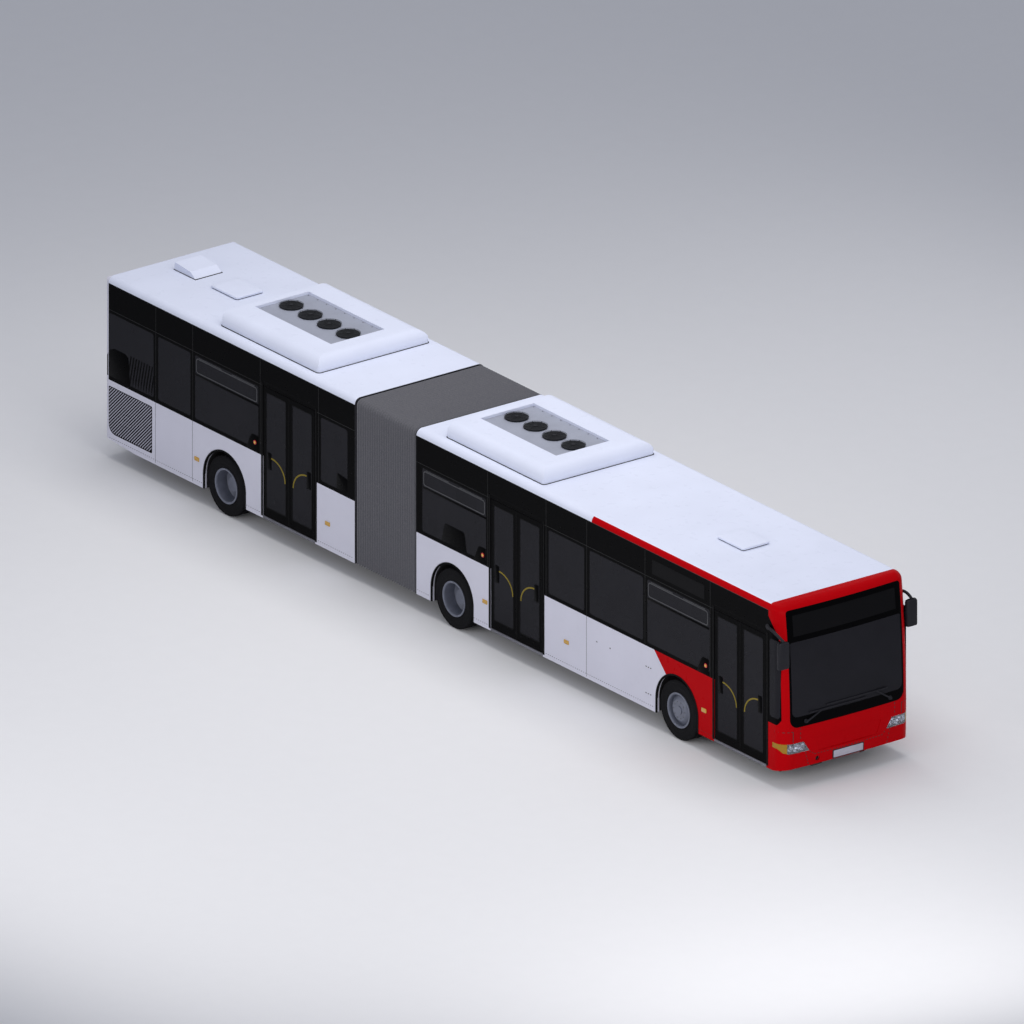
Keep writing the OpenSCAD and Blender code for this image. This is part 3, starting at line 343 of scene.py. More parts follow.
# The bellows cloth is darkened in the hollows of its pleats by a mesh attribute: painted shade in
# the folds.
bellows_cloth = weave("bellows_cloth", (88, 88, 95), (104, 104, 109), 0.006, 0.1, "fold_painted_shade")
button_red = surface("button_red", (190, 26, 20), 0.3, coat=0.5)
plate_grey = surface("sunk_plate", (150, 154, 168), 0.45, grain=(220.0, 0.1, 0.0005))
fan_black = surface("fan_black", (36, 37, 40), 0.5, grain=(200.0, 0.2, 0.0006), specular=0.1)
amber_solid = surface("amber_marker", (190, 146, 48), 0.25, coat=0.5)


def own_paint(node, *mats):
    mesh = NODES[node].data
    mesh.materials.clear()
    for m in mats:
        mesh.materials.append(m)


for finish, nodes in (
        (wall_paint, ("front_right_wall", "front_left_wall", "rear_right_wall", "rear_left_wall")),
        (roof_paint, ("front_roof", "rear_roof", "roof_vent_cowl")),
        (tail_paint, ("tail_panel", "engine_lid")),
        (glass_dark, ("front_windows", "rear_windows")),
        (chassis, ("front_floor", "rear_floor", "front_axle", "middle_axle", "rear_axle",
                   "turntable", "left_knuckle", "right_knuckle")),
        (yellow, ("front_handrails", "rear_handrails")),
        (cast_iron, ("engine",)), (trim_grey, ("driver_cab",)), (grained_black, ("wipers",))):
    for node in nodes:
        own_paint(node, finish)
for place in DOORS:
    for half in ("aft", "fore"):
        own_paint(f"{place}_door_{half}_post", aluminium)
        leaf = f"{place}_door_{half}_leaf"
        own_paint(leaf, black_gloss, glass_dark)
        low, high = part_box(leaf)
        for face in NODES[leaf].data.polygons:
            inset = low[1] + 0.001 < face.center[1] < low[1] + 0.013
            if inset and abs(face.normal[1]) > 0.9:
                face.material_index = 1
for place in AXLES:
    for hand in ("left", "right"):
        own_paint(f"{place}_{hand}_rim", wheel_grey)

# ---- mesh building ----


class Shape:
    """Vertices and faces that are collected and made into one object."""

    def __init__(self):
        self.verts = []
        self.faces = []

    def add(self, verts, faces):
        start = len(self.verts)
        self.verts += [tuple(v) for v in verts]
        self.faces += [[start + i for i in f] for f in faces]

    def box(self, low, high):
        x0, y0, z0 = (min(a, b) for a, b in zip(low, high))
        x1, y1, z1 = (max(a, b) for a, b in zip(low, high))
        self.loft([[(x0, y0, z0), (x1, y0, z0), (x1, y1, z0), (x0, y1, z0)],
                   [(x0, y0, z1), (x1, y0, z1), (x1, y1, z1), (x0, y1, z1)]])

    def loft(self, rings, closed=True, caps=True, loop=False):
        """Joins rings of points. closed: each ring is a loop. loop: the last joins the first."""
        n = len(rings[0])
        faces = []
        count = len(rings) if loop else len(rings) - 1
        for r in range(count):
            a, b = r * n, ((r + 1) % len(rings)) * n
            for k in range(n if closed else n - 1):
                j = (k + 1) % n
                faces.append([a + k, a + j, b + j, b + k])
        if caps and closed and not loop:
            faces.append(list(range(n))[::-1])
            faces.append(list(range((len(rings) - 1) * n, len(rings) * n)))
        self.add([p for ring in rings for p in ring], faces)

    def prism(self, outline, place, a, b):
        """outline points (u, v), put in space by place(u, v, depth), between two depths."""
        self.loft([[place(u, v, a) for u, v in outline], [place(u, v, b) for u, v in outline]])

    def tube(self, points, radius, sides=12):
        points = [Vector(p) for p in points]
        rings = []
        side = None
        for k, p in enumerate(points):
            before = points[max(k - 1, 0)]
            after = points[min(k + 1, len(points) - 1)]
            along = (after - before).normalized()
            if side is None:
                side = along.cross(Vector((0.13, 0.31, 0.94))).normalized()
            side = (side - along * side.dot(along)).normalized()
            up = along.cross(side)
            ring = []
            for j in range(sides):
                t = 2 * math.pi * j / sides
                ring.append(p + radius * (math.cos(t) * side + math.sin(t) * up))
            rings.append(ring)
        self.loft(rings)

    def turned(self, profile, centre, axis, sides=48):
        """Profile points (radius, height) turned round an axis through the centre."""
        axis = Vector(axis).normalized()
        side = axis.orthogonal().normalized()
        up = axis.cross(side)
        rings = []
        for j in range(sides):
            t = 2 * math.pi * j / sides
            out = math.cos(t) * side + math.sin(t) * up
            rings.append([Vector(centre) + out * r + axis * h for r, h in profile])
        self.loft(rings, caps=False, loop=True)

    def make(self, name, mat, body, bevel=0.0, smooth=True, slot=None):
        mesh = bpy.data.meshes.new(name)
        mesh.from_pydata(self.verts, [], self.faces)
        mesh.materials.append(mat)
        return settle(name, mesh, body, bevel, smooth)


def settle(name, mesh, body, bevel=0.0, smooth=True):
    """Mends the normals of a mesh, bevels it and makes it an object that rides on a body."""
    bm = bmesh.new()
    bm.from_mesh(mesh)
    bmesh.ops.remove_doubles(bm, verts=bm.verts, dist=1e-6)
    bmesh.ops.recalc_face_normals(bm, faces=bm.faces)
    if bevel:
        sharp = [e for e in bm.edges if len(e.link_faces) == 2 and e.calc_face_angle(0) > 0.6]
        bmesh.ops.bevel(bm, geom=sharp, offset=bevel, segments=2, profile=0.5,
                        affect="EDGES", clamp_overlap=True)
    for f in bm.faces:
        f.smooth = smooth
    if smooth:
        for e in bm.edges:
            if len(e.link_faces) == 2 and e.calc_face_angle(0) > 0.6:
                e.smooth = False
    bm.to_mesh(mesh)
    bm.free()
    ob = bpy.data.objects.new(name, mesh)
    bpy.context.scene.collection.objects.link(ob)
    if body:
        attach(ob, body)
    return ob


def rounded(x0, x1, z0, z1, r, n=6):
    """Rectangle with round corners; r is one radius or four, anticlockwise from low left."""
    rs = r if isinstance(r, (list, tuple)) else [r] * 4
    corners = [(x0, z0, 180), (x1, z0, 270), (x1, z1, 0), (x0, z1, 90)]
    out = []
    for (cx, cz, start), q in zip(corners, rs):
        sx = 1 if cx == x0 else -1
        sz = 1 if cz == z0 else -1
        for k in range(n + 1):
            t = math.radians(start + 90 * k / n)
            out.append((cx + sx * q + q * math.cos(t), cz + sz * q + q * math.sin(t)))
    return out


def on_side(hand):
    """Places (x, z) of an outline on a side wall, depth outwards from its face."""
    return lambda x, z, d: (x, hand * (SIDE + d), z)


# ---- nose ----

BOW_R = 16.5
BOW_Z = 1.0
CORNER_R = 0.22
CORNER_Y = SIDE - CORNER_R
CORNER_X = NOSE - CORNER_R - 0.034
FRONT_LEN = CORNER_Y
CORNER_LEN = CORNER_R * math.pi / 2
SIDE_LEN = CORNER_X - MASK


def nose_plan(u):
    """Point and outward direction of the nose's plan at u metres round from the middle."""
    s = 1 if u >= 0 else -1
    u = abs(u)
    if u <= FRONT_LEN:
        return NOSE - u * u / 2 / BOW_R, s * u, 1.0, s * u / BOW_R
    if u <= FRONT_LEN + CORNER_LEN:
        t = (u - FRONT_LEN) / CORNER_R
        return (CORNER_X + CORNER_R * math.cos(t), s * (CORNER_Y + CORNER_R * math.sin(t)),
                math.cos(t), s * math.sin(t))
    left = 1 - (u - FRONT_LEN - CORNER_LEN) / SIDE_LEN
    return MASK + left * SIDE_LEN, s * SIDE, 0.0, float(s)


def lean(z):
    """How far the nose has moved back at height z."""
    return (z - BOW_Z) ** 2 / 2 / BOW_R


def nose_at(u, z, inward=0.0):
    """Point of the nose's skin at height z, below the roof's edge."""
    x, y, nx, ny = nose_plan(u)
    share = (x - MASK) / (CORNER_X - MASK) if abs(y) >= SIDE - 1e-9 else 1.0
    return (x - lean(z) * share - nx * inward, y - ny * inward, z)


def dome_at(u, t, inward=0.0):
    """Point of the roof's edge; t goes from 0 at its foot to 1 at the flat roof."""
    x, y, nx, ny = nose_plan(u)
    r = 0.11 + 0.05 * nx * nx
    angle = t * math.pi / 2
    z = ROOF - r + (r - inward) * math.sin(angle)
    share = (x - MASK) / (CORNER_X - MASK) if abs(y) >= SIDE - 1e-9 else 1.0
    off = r - (r - inward) * math.cos(angle)
    return (x - lean(z) * share - nx * off, y - ny * off, z)


def nose_steps():
    us = [FRONT_LEN * k / 12 for k in range(13)]
    us += [FRONT_LEN + CORNER_LEN * k / 12 for k in range(1, 13)]
    us += [FRONT_LEN + CORNER_LEN + SIDE_LEN * k / 3 for k in range(1, 4)]
    return [-u for u in us[:0:-1]] + us


def nose_solid(outer, inner, with_roof):
    """Closed solid of the nose's skin between two depths."""
    us = nose_steps()
    shells = []
    for depth in (outer, inner):
        rows = []
        for k in range(25):
            row = []
            for u in us:
                x, _, nx, _ = nose_plan(u)
                foot = SKIRT + max(0, (x - (NOSE - 0.3)) * 0.057 / 0.31)
                top = ROOF - 0.11 - 0.05 * nx * nx
                row.append(nose_at(u, foot + (top - foot) * k / 24, depth))
            rows.append(row)
        if with_roof:
            for k in range(1, 9):
                rows.append([dome_at(u, k / 8, depth) for u in us])
        shells.append(rows)
    shape = Shape()
    n = len(us)
    for rows in shells:
        shape.loft(rows, closed=False)
    count = len(shells[0]) * n
    faces = []
    last = len(shells[0]) - 1
    for k in range(n - 1):
        faces.append([k, k + 1, count + k + 1, count + k])
        if not with_roof:
            a = last * n + k
            faces.append([a, a + 1, count + a + 1, count + a])
    for r in range(last):
        for k in (0, n - 1):
            a = r * n + k
            faces.append([a, a + n, count + a + n, count + a])
    if with_roof:
        a = last * n
        faces.append([a + k for k in range(n)])
        faces.append([count + a + k for k in range(n)])
        faces.append([a, count + a, count + a + n - 1, a + n - 1])
    shape.faces += faces
    return shape


def solid_object(shape, name):
    mesh = bpy.data.meshes.new(name)
    mesh.from_pydata(shape.verts, [], shape.faces)
    bm = bmesh.new()
    bm.from_mesh(mesh)
    bmesh.ops.remove_doubles(bm, verts=bm.verts, dist=1e-6)
    bmesh.ops.recalc_face_normals(bm, faces=bm.faces)
    bm.to_mesh(mesh)
    bm.free()
    ob = bpy.data.objects.new(name, mesh)
    bpy.context.scene.collection.objects.link(ob)
    return ob


def carve(base, tools, operation):
    """Mesh of one shape with others cut away from it or kept, one after the other."""
    a = solid_object(base, "carve_base") if isinstance(base, Shape) else base
    others = []
    for tool in tools if isinstance(tools, list) else [tools]:
        b = solid_object(tool, "carve_tool")
        others.append(b)
        mod = a.modifiers.new("carve", "BOOLEAN")
        mod.operation = operation
        mod.solver = "EXACT"
        mod.object = b
    bpy.context.view_layer.update()
    ready = a.evaluated_get(bpy.context.evaluated_depsgraph_get())
    mesh = bpy.data.meshes.new_from_object(ready)
    for ob in (a, *others):
        bpy.data.objects.remove(ob)
    return mesh


def held(mesh):
    """A mesh as an object that can be carved again."""
    ob = bpy.data.objects.new("carve_base", mesh)
    bpy.context.scene.collection.objects.link(ob)
    return ob


def prism_of(outline, place, a, b):
    shape = Shape()
    shape.prism(outline, place, a, b)
    return shape


def at_front(y, z, x):
    return (x, y, z)


SCREEN = (-1.125, 1.125, 1.035, 3.005)
SCREEN_R = [0.15, 0.15, 0.05, 0.05]
QUARTER = (MASK + 0.028, CORNER_X + 0.11, 1.2, 2.525)


def grown(box, by):
    return box[0] - by, box[1] + by, box[2] - by, box[3] + by


def lamp_outline(hand, by=0.0):
    """Outline of a headlamp from the front, its lower edge rising round the corner."""
    low = [(0.755 + by, 0.602), (1.13, 0.602), (1.22, 0.628), (1.268, 0.69), (1.5, 0.69)]
    pts = [(y, z + by) for y, z in low] + [(1.5, 0.778 - by), (0.87 + by, 0.778 - by)]
    return [(hand * y, z) for y, z in pts]


LAMP_X = CORNER_X - 0.06
cutters = [prism_of(rounded(*SCREEN, SCREEN_R), at_front, NOSE - 0.3, NOSE + 0.1)]
for hand in (1, -1):
    cutters.append(prism_of(lamp_outline(hand), at_front, LAMP_X, NOSE + 0.1))
    cutters.append(prism_of(rounded(*QUARTER, 0.06), lambda x, z, d: (x, hand * d, z), 1.1, 1.4))
flap = [(-0.6 + 0.04 * math.cos(k * math.pi / 16), 0.43 + 0.04 * math.sin(k * math.pi / 16))
        for k in range(32)]
cutters.append(prism_of(flap, at_front, NOSE - 0.2, NOSE + 0.1))
recess = prism_of([(-0.57, 0.56), (0.57, 0.56), (0.66, 0.81), (-0.66, 0.81)],
                  lambda y, z, d: (NOSE - (y * y + (z - BOW_Z) ** 2) / 2 / BOW_R + d, y, z),
                  -0.008, 0.05)


def skin(name, mesh, mat):
    """A carved mesh with its finish, as a piece of the front section."""
    mesh.materials.clear()
    mesh.materials.append(mat)
    return settle(name, mesh, "front_section")


panel = carve(nose_solid(0, 0.03, True), cutters + [recess], "DIFFERENCE")
nose = skin("nose_panel", panel, mask_paint)
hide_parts("front_mask")

# Windscreen: clear glass inside a black border
CLEAR = (-1.085, 1.085, 1.215, 2.47)
CLEAR_R = [0.1, 0.1, 0.03, 0.03]
DISPLAY = (-1.01, 1.01, 2.562, 2.912)
window = prism_of(rounded(*CLEAR, CLEAR_R), at_front, NOSE - 0.4, NOSE + 0.1)
skin("screen_glass", carve(nose_solid(0.002, 0.008, True), window, "INTERSECT"),
     glass_screen)
whole = prism_of(rounded(*grown(SCREEN, -0.002), SCREEN_R), at_front, NOSE - 0.35, NOSE + 0.08)
window = prism_of(rounded(*grown(CLEAR, 0.001), CLEAR_R), at_front, NOSE - 0.4, NOSE + 0.1)
sheet = carve(nose_solid(0.002, 0.008, True), whole, "INTERSECT")
border = skin("screen_border", carve(held(sheet), window, "DIFFERENCE"), black_gloss)
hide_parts("windscreen")


def nose_patch(name, y0, y1, z0, z1, depth, thick, mat):
    """Panel that follows the nose between two heights."""
    shape = Shape()
    ny, nz = 24, 8
    for d in (depth, depth + thick):
        shape.loft([[nose_at(y0 + (y1 - y0) * j / ny, z0 + (z1 - z0) * k / nz, d)
                     for j in range(ny + 1)] for k in range(nz + 1)], closed=False)
    n = (ny + 1) * (nz + 1)
    rim_ids = list(range(ny + 1)) + [(ny + 1) * (k + 1) + ny for k in range(nz)]
    rim_ids += [(ny + 1) * nz + j for j in range(ny - 1, -1, -1)]
    rim_ids += [(ny + 1) * k for k in range(nz - 1, 0, -1)]
    faces = [[a, b, n + b, n + a] for a, b in zip(rim_ids, rim_ids[1:] + rim_ids[:1])]
    shape.faces += faces
    shape.make(name, mat, "front_section")


nose_patch("front_display", *DISPLAY, 0.0008, 0.006, display_dark)

# ---- lamps of the front ----


def lamp_part(name, hand, y0, y1, mat):
    """Lens of a headlamp between two distances from the middle."""
    wedge = prism_of(lamp_outline(hand, 0.002), at_front, LAMP_X + 0.002, NOSE + 0.1)
    whole = carve(nose_solid(0.0, 0.006, False), wedge, "INTERSECT")
    keep = Shape()
    keep.box((NOSE - 0.6, hand * y0, 0.5), (NOSE + 0.1, hand * y1, 0.9))
    return skin(name, carve(held(whole), keep, "INTERSECT"), mat)


LAMP_SPLIT = 1.165
bowls = Shape()
housing = Shape()
for hand, side in ((1, "left"), (-1, "right")):
    lens = lamp_part(f"{side}_lamp_lens", hand, 0.7, LAMP_SPLIT, lens_clear)
    if hand == 1:
        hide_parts("headlamps")
    lamp_part(f"{side}_indicator_lens", hand, LAMP_SPLIT, 1.4, lens_amber)
    for y, r in ((0.885, 0.058), (1.0, 0.07), (1.11, 0.05)):
        x = NOSE - y * y / 2 / BOW_R - 0.03
        profile = [(0.012, -0.06), (r * 0.6, -0.045), (r * 0.85, -0.022), (r, 0.0),
                   (r + 0.004, 0.0), (r * 0.88, -0.028), (r * 0.6, -0.053), (0.012, -0.068)]
        bowls.turned(profile, (x, hand * y, 0.69), (1, 0, 0), 32)
        bowls.turned([(0.0, -0.07), (0.011, -0.068), (0.012, -0.02), (0.008, -0.012), (0, -0.01)],
                     (x, hand * y, 0.69), (1, 0, 0), 20)
    housing.box((NOSE - 0.13, hand * 0.80, 0.606), (NOSE - 0.115, hand * 1.17, 0.774))
    housing.box((CORNER_X - 0.05, hand * 1.17, 0.606), (CORNER_X + 0.13, hand * 1.185, 0.774))
bowls.make("lamp_reflectors", reflector, "front_section", slot="lamp_glass")
housing.make("lamp_housings", trim_grey, "front_section", bevel=0.003)

# ---- seams, plates and small fittings on the sides ----


def strip(shape, hand, x0, x1, z0, z1, out=LIFT):
    shape.box((x0, hand * (SIDE - 0.001), z0), (x1, hand * (SIDE + out), z1))


def broken(x0, x1, *holes):
    """The stretches of a line that are left between doors and arches."""
    out = []
    at = x0
    for a, b in sorted(holes):
        if a > at:
            out.append((at, min(a, x1)))
        at = max(at, b)
    if at < x1:
        out.append((at, x1))
    return out


WIDE = 0.006
TAIL_WALL = TAIL + 0.12
arches = {k: (AXLES[k][0] - ARCH_R, AXLES[k][0] + ARCH_R) for k in AXLES}
door_gaps = {k: (DOORS[k] - DOOR_HALF, DOORS[k] + DOOR_HALF) for k in DOORS}
low_seams = {"rear_section": [TAIL + 1.354, TAIL + 2.331, TAIL + 5.59],
             "front_section": [TAIL + 10.19, TAIL + 12.726]}
band_seams = {"rear_section": [TAIL + 1.366, TAIL + 2.34, TAIL + 4.12, TAIL + 5.655],
              "front_section": [TAIL + 10.12, TAIL + 11.66, TAIL + 12.734, TAIL + 14.27,
                                TAIL + 15.99]}
spans = {"rear_section": (TAIL_WALL, BELLOWS[0]), "front_section": (BELLOWS[1], MASK)}
for body, (x0, x1) in spans.items():
    lines = Shape()
    for hand in (1, -1):
        gaps = [g for k, g in arches.items() if SECTION[k] == body]
        doors = [g for k, g in door_gaps.items() if SECTION[k] == body] if hand < 0 else []
        for a, b in broken(x0, x1, *gaps, *doors):
            step = 0.055
            for k in range(int((b - a - 0.02) / step)):
                strip(lines, hand, a + 0.02 + k * step, a + 0.045 + k * step, 0.368, 0.375)
        for a, b in broken(x0, x1, *doors):
            strip(lines, hand, a, b, 2.5455, 2.5515)
        for x in low_seams[body]:
            strip(lines, hand, x - WIDE / 2, x + WIDE / 2, SKIRT + 0.03, BELT)
        for x in band_seams[body]:
            strip(lines, hand, x - WIDE / 2, x + WIDE / 2, BELT, CANT - 0.02)
        strip(lines, hand, x0, x1, CANT - 0.004, CANT + 0.004)
    lines.make(body + "_seams", seam_dark, body, smooth=False)

# Door frames, handles, sills and the rails inside the leaves
for place, x in DOORS.items():
    body = SECTION[place]
    frame_lines = Shape()
    for z0, z1 in ((2.557, 2.563), (2.62, 2.626)):
        strip(frame_lines, -1, x - DOOR_HALF, x + DOOR_HALF, z0, z1)
    for dx in (-DOOR_HALF - 0.021, DOOR_HALF + 0.021):
        strip(frame_lines, -1, x + dx - 0.022, x + dx + 0.022, 0.33, 2.60, 0.006)
    frame_lines.make(place + "_door_surround", rubber, body, bevel=0.002)
    sill = Shape()
    sill.box((x - DOOR_HALF + 0.004, -SIDE - 0.004, SKIRT + 0.003),
             (x + DOOR_HALF - 0.004, -SIDE + 0.05, 0.3405))
    for k in range(4):
        sill.box((x - DOOR_HALF + 0.01, -SIDE - 0.0065, 0.300 + 0.010 * k),
                 (x + DOOR_HALF - 0.01, -SIDE, 0.304 + 0.010 * k))
    sill.make(place + "_door_sill", aluminium, body, bevel=0.001)
    for half, f in (("aft", 1), ("fore", -1)):
        leaf = f"{place}_door_{half}_leaf"
        low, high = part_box(leaf)
        outer = low[0] if f > 0 else high[0]
        inner = high[0] if f > 0 else low[0]
        grip = Shape()
        at = outer + f * 0.153
        y = low[1]
        for w, h, d0, d1 in ((0.052, 0.145, 0.004, -0.004), (0.034, 0.125, -0.003, -0.007)):
            grip.prism(rounded(at - w, at + w, 1.31 - h, 1.31 + h, 0.02),
                       lambda u, z, d: (u, y + d, z), d0, d1)
        grip.make(leaf + "_grip", black_gloss, leaf, bevel=0.002)
        rail = Shape()
        path = []
        for k in range(17):
            t = math.pi / 2 * k / 16
            path.append((outer + f * (0.205 + 0.36 * math.sin(t)), low[1] + 0.014,
                         1.055 + 0.315 * math.cos(t)))
        rail.tube(path, 0.018, 12)
        rail.make(leaf + "_rail", rail_yellow, leaf)
        seal = Shape()
        edge = inner - f * 0.006
        seal.box((edge - 0.006, low[1] - 0.003, 0.36), (edge + 0.006, low[1] + 0.03, 2.54))
        seal.box((outer + f * 0.008 - 0.005, low[1] - 0.003, 0.36),
                 (outer + f * 0.008 + 0.005, low[1] + 0.03, 2.54))
        seal.make(leaf + "_seals", rubber, leaf, bevel=0.002)
        gasket = Shape()
        gx0, gx1 = sorted((outer + f * 0.074, inner - f * 0.084))
        ring_out = rounded(gx0 - 0.008, gx1 + 0.008, 0.496, 2.462, 0.026)
        ring_in = rounded(gx0 + 0.004, gx1 - 0.004, 0.508, 2.450, 0.018)
        rings = []
        for pts, d in ((ring_out, 0.0), (ring_out, -0.002), (ring_in, -0.002), (ring_in, 0.004)):
            rings.append([(px, low[1] + d, pz) for px, pz in pts])
        gasket.loft(rings, loop=True)
        gasket.make(leaf + "_gasket", rubber, leaf)

# Vent windows: a divider bar and a slim frame with two slots
for body, panes in (("rear_section", [(-6.66, -4.99, -1)]),
                    ("front_section", [(-0.665, 1.015, -1), (5.265, 6.9, -1)])):
    bars = Shape()
    vents = Shape()
    for x0, x1, hand in panes:
        strip(bars, hand, x0, x1, 2.148, 2.184, 0.003)
        outer_ring = rounded(x0 + 0.03, x1 - 0.03, 2.20, 2.455, 0.05)
        inner_ring = rounded(x0 + 0.048, x1 - 0.048, 2.218, 2.437, 0.036)
        rings = []
        for pts, d in ((outer_ring, 0.0), (outer_ring, 0.003), (inner_ring, 0.003),
                       (inner_ring, 0.0)):
            rings.append([on_side(hand)(px, pz, d - 0.001) for px, pz in pts])
        vents.loft(rings, loop=True)
        middle = (x0 + x1) / 2
        for a, b in ((x0 + 0.1, middle - 0.14), (middle + 0.14, x1 - 0.1)):
            strip(vents, hand, a, b, 2.462, 2.474, 0.003)
    bars.make(body + "_vent_bars", black_gloss, body, bevel=0.001)
    vents.make(body + "_vent_frames", vent_grey, body)

# Black shields behind the glass and the bumps that carry the call buttons
shields = {
    "rear_section": [
        [(-8.98, 1.417), (-8.37, 1.417), (-8.42, 1.88), (-8.50, 1.92), (-8.78, 1.92),
         (-8.93, 1.86), (-8.98, 1.75)],
        [(-2.934, 1.417), (-2.64, 1.417), (-2.64, 1.66), (-2.90, 1.69), (-2.915, 1.68)],
    ],
    "front_section": [
        [(-0.155, 1.417), (0.51, 1.417), (0.45, 1.715), (0.41, 1.742), (-0.05, 1.742),
         (-0.085, 1.715)],
    ],
}
bumps = {"rear_section": [(TAIL + 3.744, TAIL + 4.07, TAIL + 3.986)],
         "front_section": [(TAIL + 9.746, TAIL + 10.065, TAIL + 9.993),
                           (TAIL + 15.64, TAIL + 15.95, TAIL + 15.877)]}
for body in spans:
    panel = Shape()
    for outline in shields[body]:
        panel.prism(outline, on_side(-1), -0.0095, -0.0005)
    for x0, x1, bx in bumps[body]:
        top = [(x0, 1.36)]
        for k in range(9):
            t = k / 8
            top.append((x0 + (x1 - x0) * (0.08 + 0.47 * t),
                        1.40 + 0.24 * math.sin(t * math.pi / 2)))
        top += [(x1, 1.64), (x1, 1.36)]
        panel.prism(top, on_side(-1), -0.009, 0.0025)
    panel.make(body + "_window_shields", black_gloss, body, bevel=0.001)
    rings = Shape()
    caps = Shape()
    for x0, x1, bx in bumps[body]:
        centre = (bx, -SIDE - 0.002, 1.515)
        rings.turned([(0.022, 0), (0.036, 0), (0.036, 0.006), (0.033, 0.009), (0.022, 0.009)],
                     centre, (0, -1, 0), 32)
        caps.turned([(0.0001, 0), (0.021, 0), (0.021, 0.010), (0.016, 0.013), (0.0001, 0.014)],
                    centre, (0, -1, 0), 32)
    rings.make(body + "_button_rings", button_red, body)
    caps.make(body + "_button_caps", yellow, body)

# Louvred part of the rear corner glass and the engine grille below it
GRILLE = (TAIL + 0.124, TAIL + 1.268, 0.45, 1.25)


def slats(shape, box, pitch, width, hand, out, slope, corner=0.0):
    """Slanting slats clipped to a rectangle whose low rear corner may be round."""
    x0, x1, z0, z1 = box
    n = int((x1 - x0 + (z1 - z0) / slope) / pitch) + 1
    for k in range(n):
        start = x0 - (z1 - z0) / slope + k * pitch
        a, b = max(x0, start), min(x1, start + (z1 - z0) / slope)
        while (a < x0 + corner and z0 + (a - start) * slope < z0 + corner
               and math.hypot(x0 + corner - a, corner - (a - start) * slope) > corner):
            a += 0.004
        if b - a < 0.02:
            continue
        za, zb = z0 + (a - start) * slope, z0 + (b - start) * slope
        outline = [(a, za), (b, zb)]
        if zb < z1 - 0.001:
            outline.append((b, min(zb + width, z1)))
        if zb + width > z1:
            outline.append((max(a + 0.001, start + (z1 - z0 - width) / slope), z1))
        outline.append((a, min(za + width, z1 - 0.0005)))
        shape.prism(outline, on_side(hand), 0.0, out)


for hand, side in ((-1, "right"), (1, "left")):
    back = Shape()
    back.prism(rounded(*GRILLE, [0.16, 0.03, 0.03, 0.03]), on_side(hand), -0.003, 0.001)
    back.make(f"{side}_grille_back", black_gloss, "rear_section")
    bars = Shape()
    slats(bars, (GRILLE[0] + 0.012, GRILLE[1] - 0.012, GRILLE[2] + 0.012, GRILLE[3] - 0.012),
          0.058, 0.023, hand, 0.007, 0.96, 0.148)
    bars.make(f"{side}_engine_grille", slat_grey, "rear_section", bevel=0.001)
    mesh_bars = Shape()
    slats(mesh_bars, (TAIL + 0.66, TAIL + 1.30, 1.42, 1.93), 0.07, 0.13, hand, 0.002, 4.5)
    mesh_bars.make(f"{side}_corner_louvre", black_gloss, "rear_section")

# Side displays, markers, small hinges
extras = Shape()
for hand in (1, -1):
    extras.prism(rounded(TAIL + 14.459, TAIL + 15.836, 2.624, 2.866, 0.012), on_side(hand),
                 -0.002, 0.0015)
extras.make("side_displays", display_dark, "front_section")
marks = {"front_section": (TAIL + 15.83, TAIL + 12.2, TAIL + 10.05), "rear_section":
         (TAIL + 2.45, TAIL + 5.9)}
for body, xs in marks.items():
    lamps = Shape()
    for hand in (1, -1):
        for x in xs:
            lamps.prism(rounded(x - 0.062, x + 0.062, 0.705, 0.773, 0.012), on_side(hand),
                        0.0, 0.011)
            for k in (-1, 0, 1):
                lamps.prism(rounded(x + 0.036 * k - 0.012, x + 0.036 * k + 0.012, 0.715, 0.763,
                                    0.008), on_side(hand), 0.010, 0.0135)
    lamps.make(body + "_markers", amber_solid, body, bevel=0.002)
hinges = Shape()
for hand in (1, -1):
    for x in (TAIL + 14.30, TAIL + 14.36, TAIL + 14.42):
        for z in (1.0, 0.55):
            strip(hinges, hand, x - 0.014, x + 0.014, z - 0.008, z + 0.008, 0.003)
    for x in (TAIL + 13.0, TAIL + 13.35):
        strip(hinges, hand, x - 0.014, x + 0.014, 0.992, 1.008, 0.003)
hinges.make("flap_hinges", seam_dark, "front_section", bevel=0.001)

# Lips of the wheel arches
for body in spans:
    lips = Shape()
    for place, (ax, az) in AXLES.items():
        if SECTION[place] != body:
            continue
        for hand in (1, -1):
            rings = []
            for k in range(33):
                t = math.pi * k / 32
                c, s = math.cos(t), math.sin(t)
                ring = []
                for r, d in ((ARCH_R - 0.012, -0.03), (ARCH_R + 0.016, 0.0),
                             (ARCH_R + 0.014, 0.008), (ARCH_R - 0.008, 0.008),
                             (ARCH_R - 0.014, 0.0)):
                    ring.append((ax + r * c, hand * (SIDE + d), ARCH_Z + r * s))
                rings.append(ring)
            lips.loft(rings)
            for sx in (1, -1):
                x_in, x_out = ax + sx * (ARCH_R - 0.012), ax + sx * (ARCH_R + 0.014)
                lips.box((x_in, hand * (SIDE - 0.02), SKIRT + 0.002),
                         (x_out, hand * (SIDE + 0.008), ARCH_Z + 0.001))
    lips.make(body + "_arch_lips", rubber, body, bevel=0.001)

# ---- bellows ----


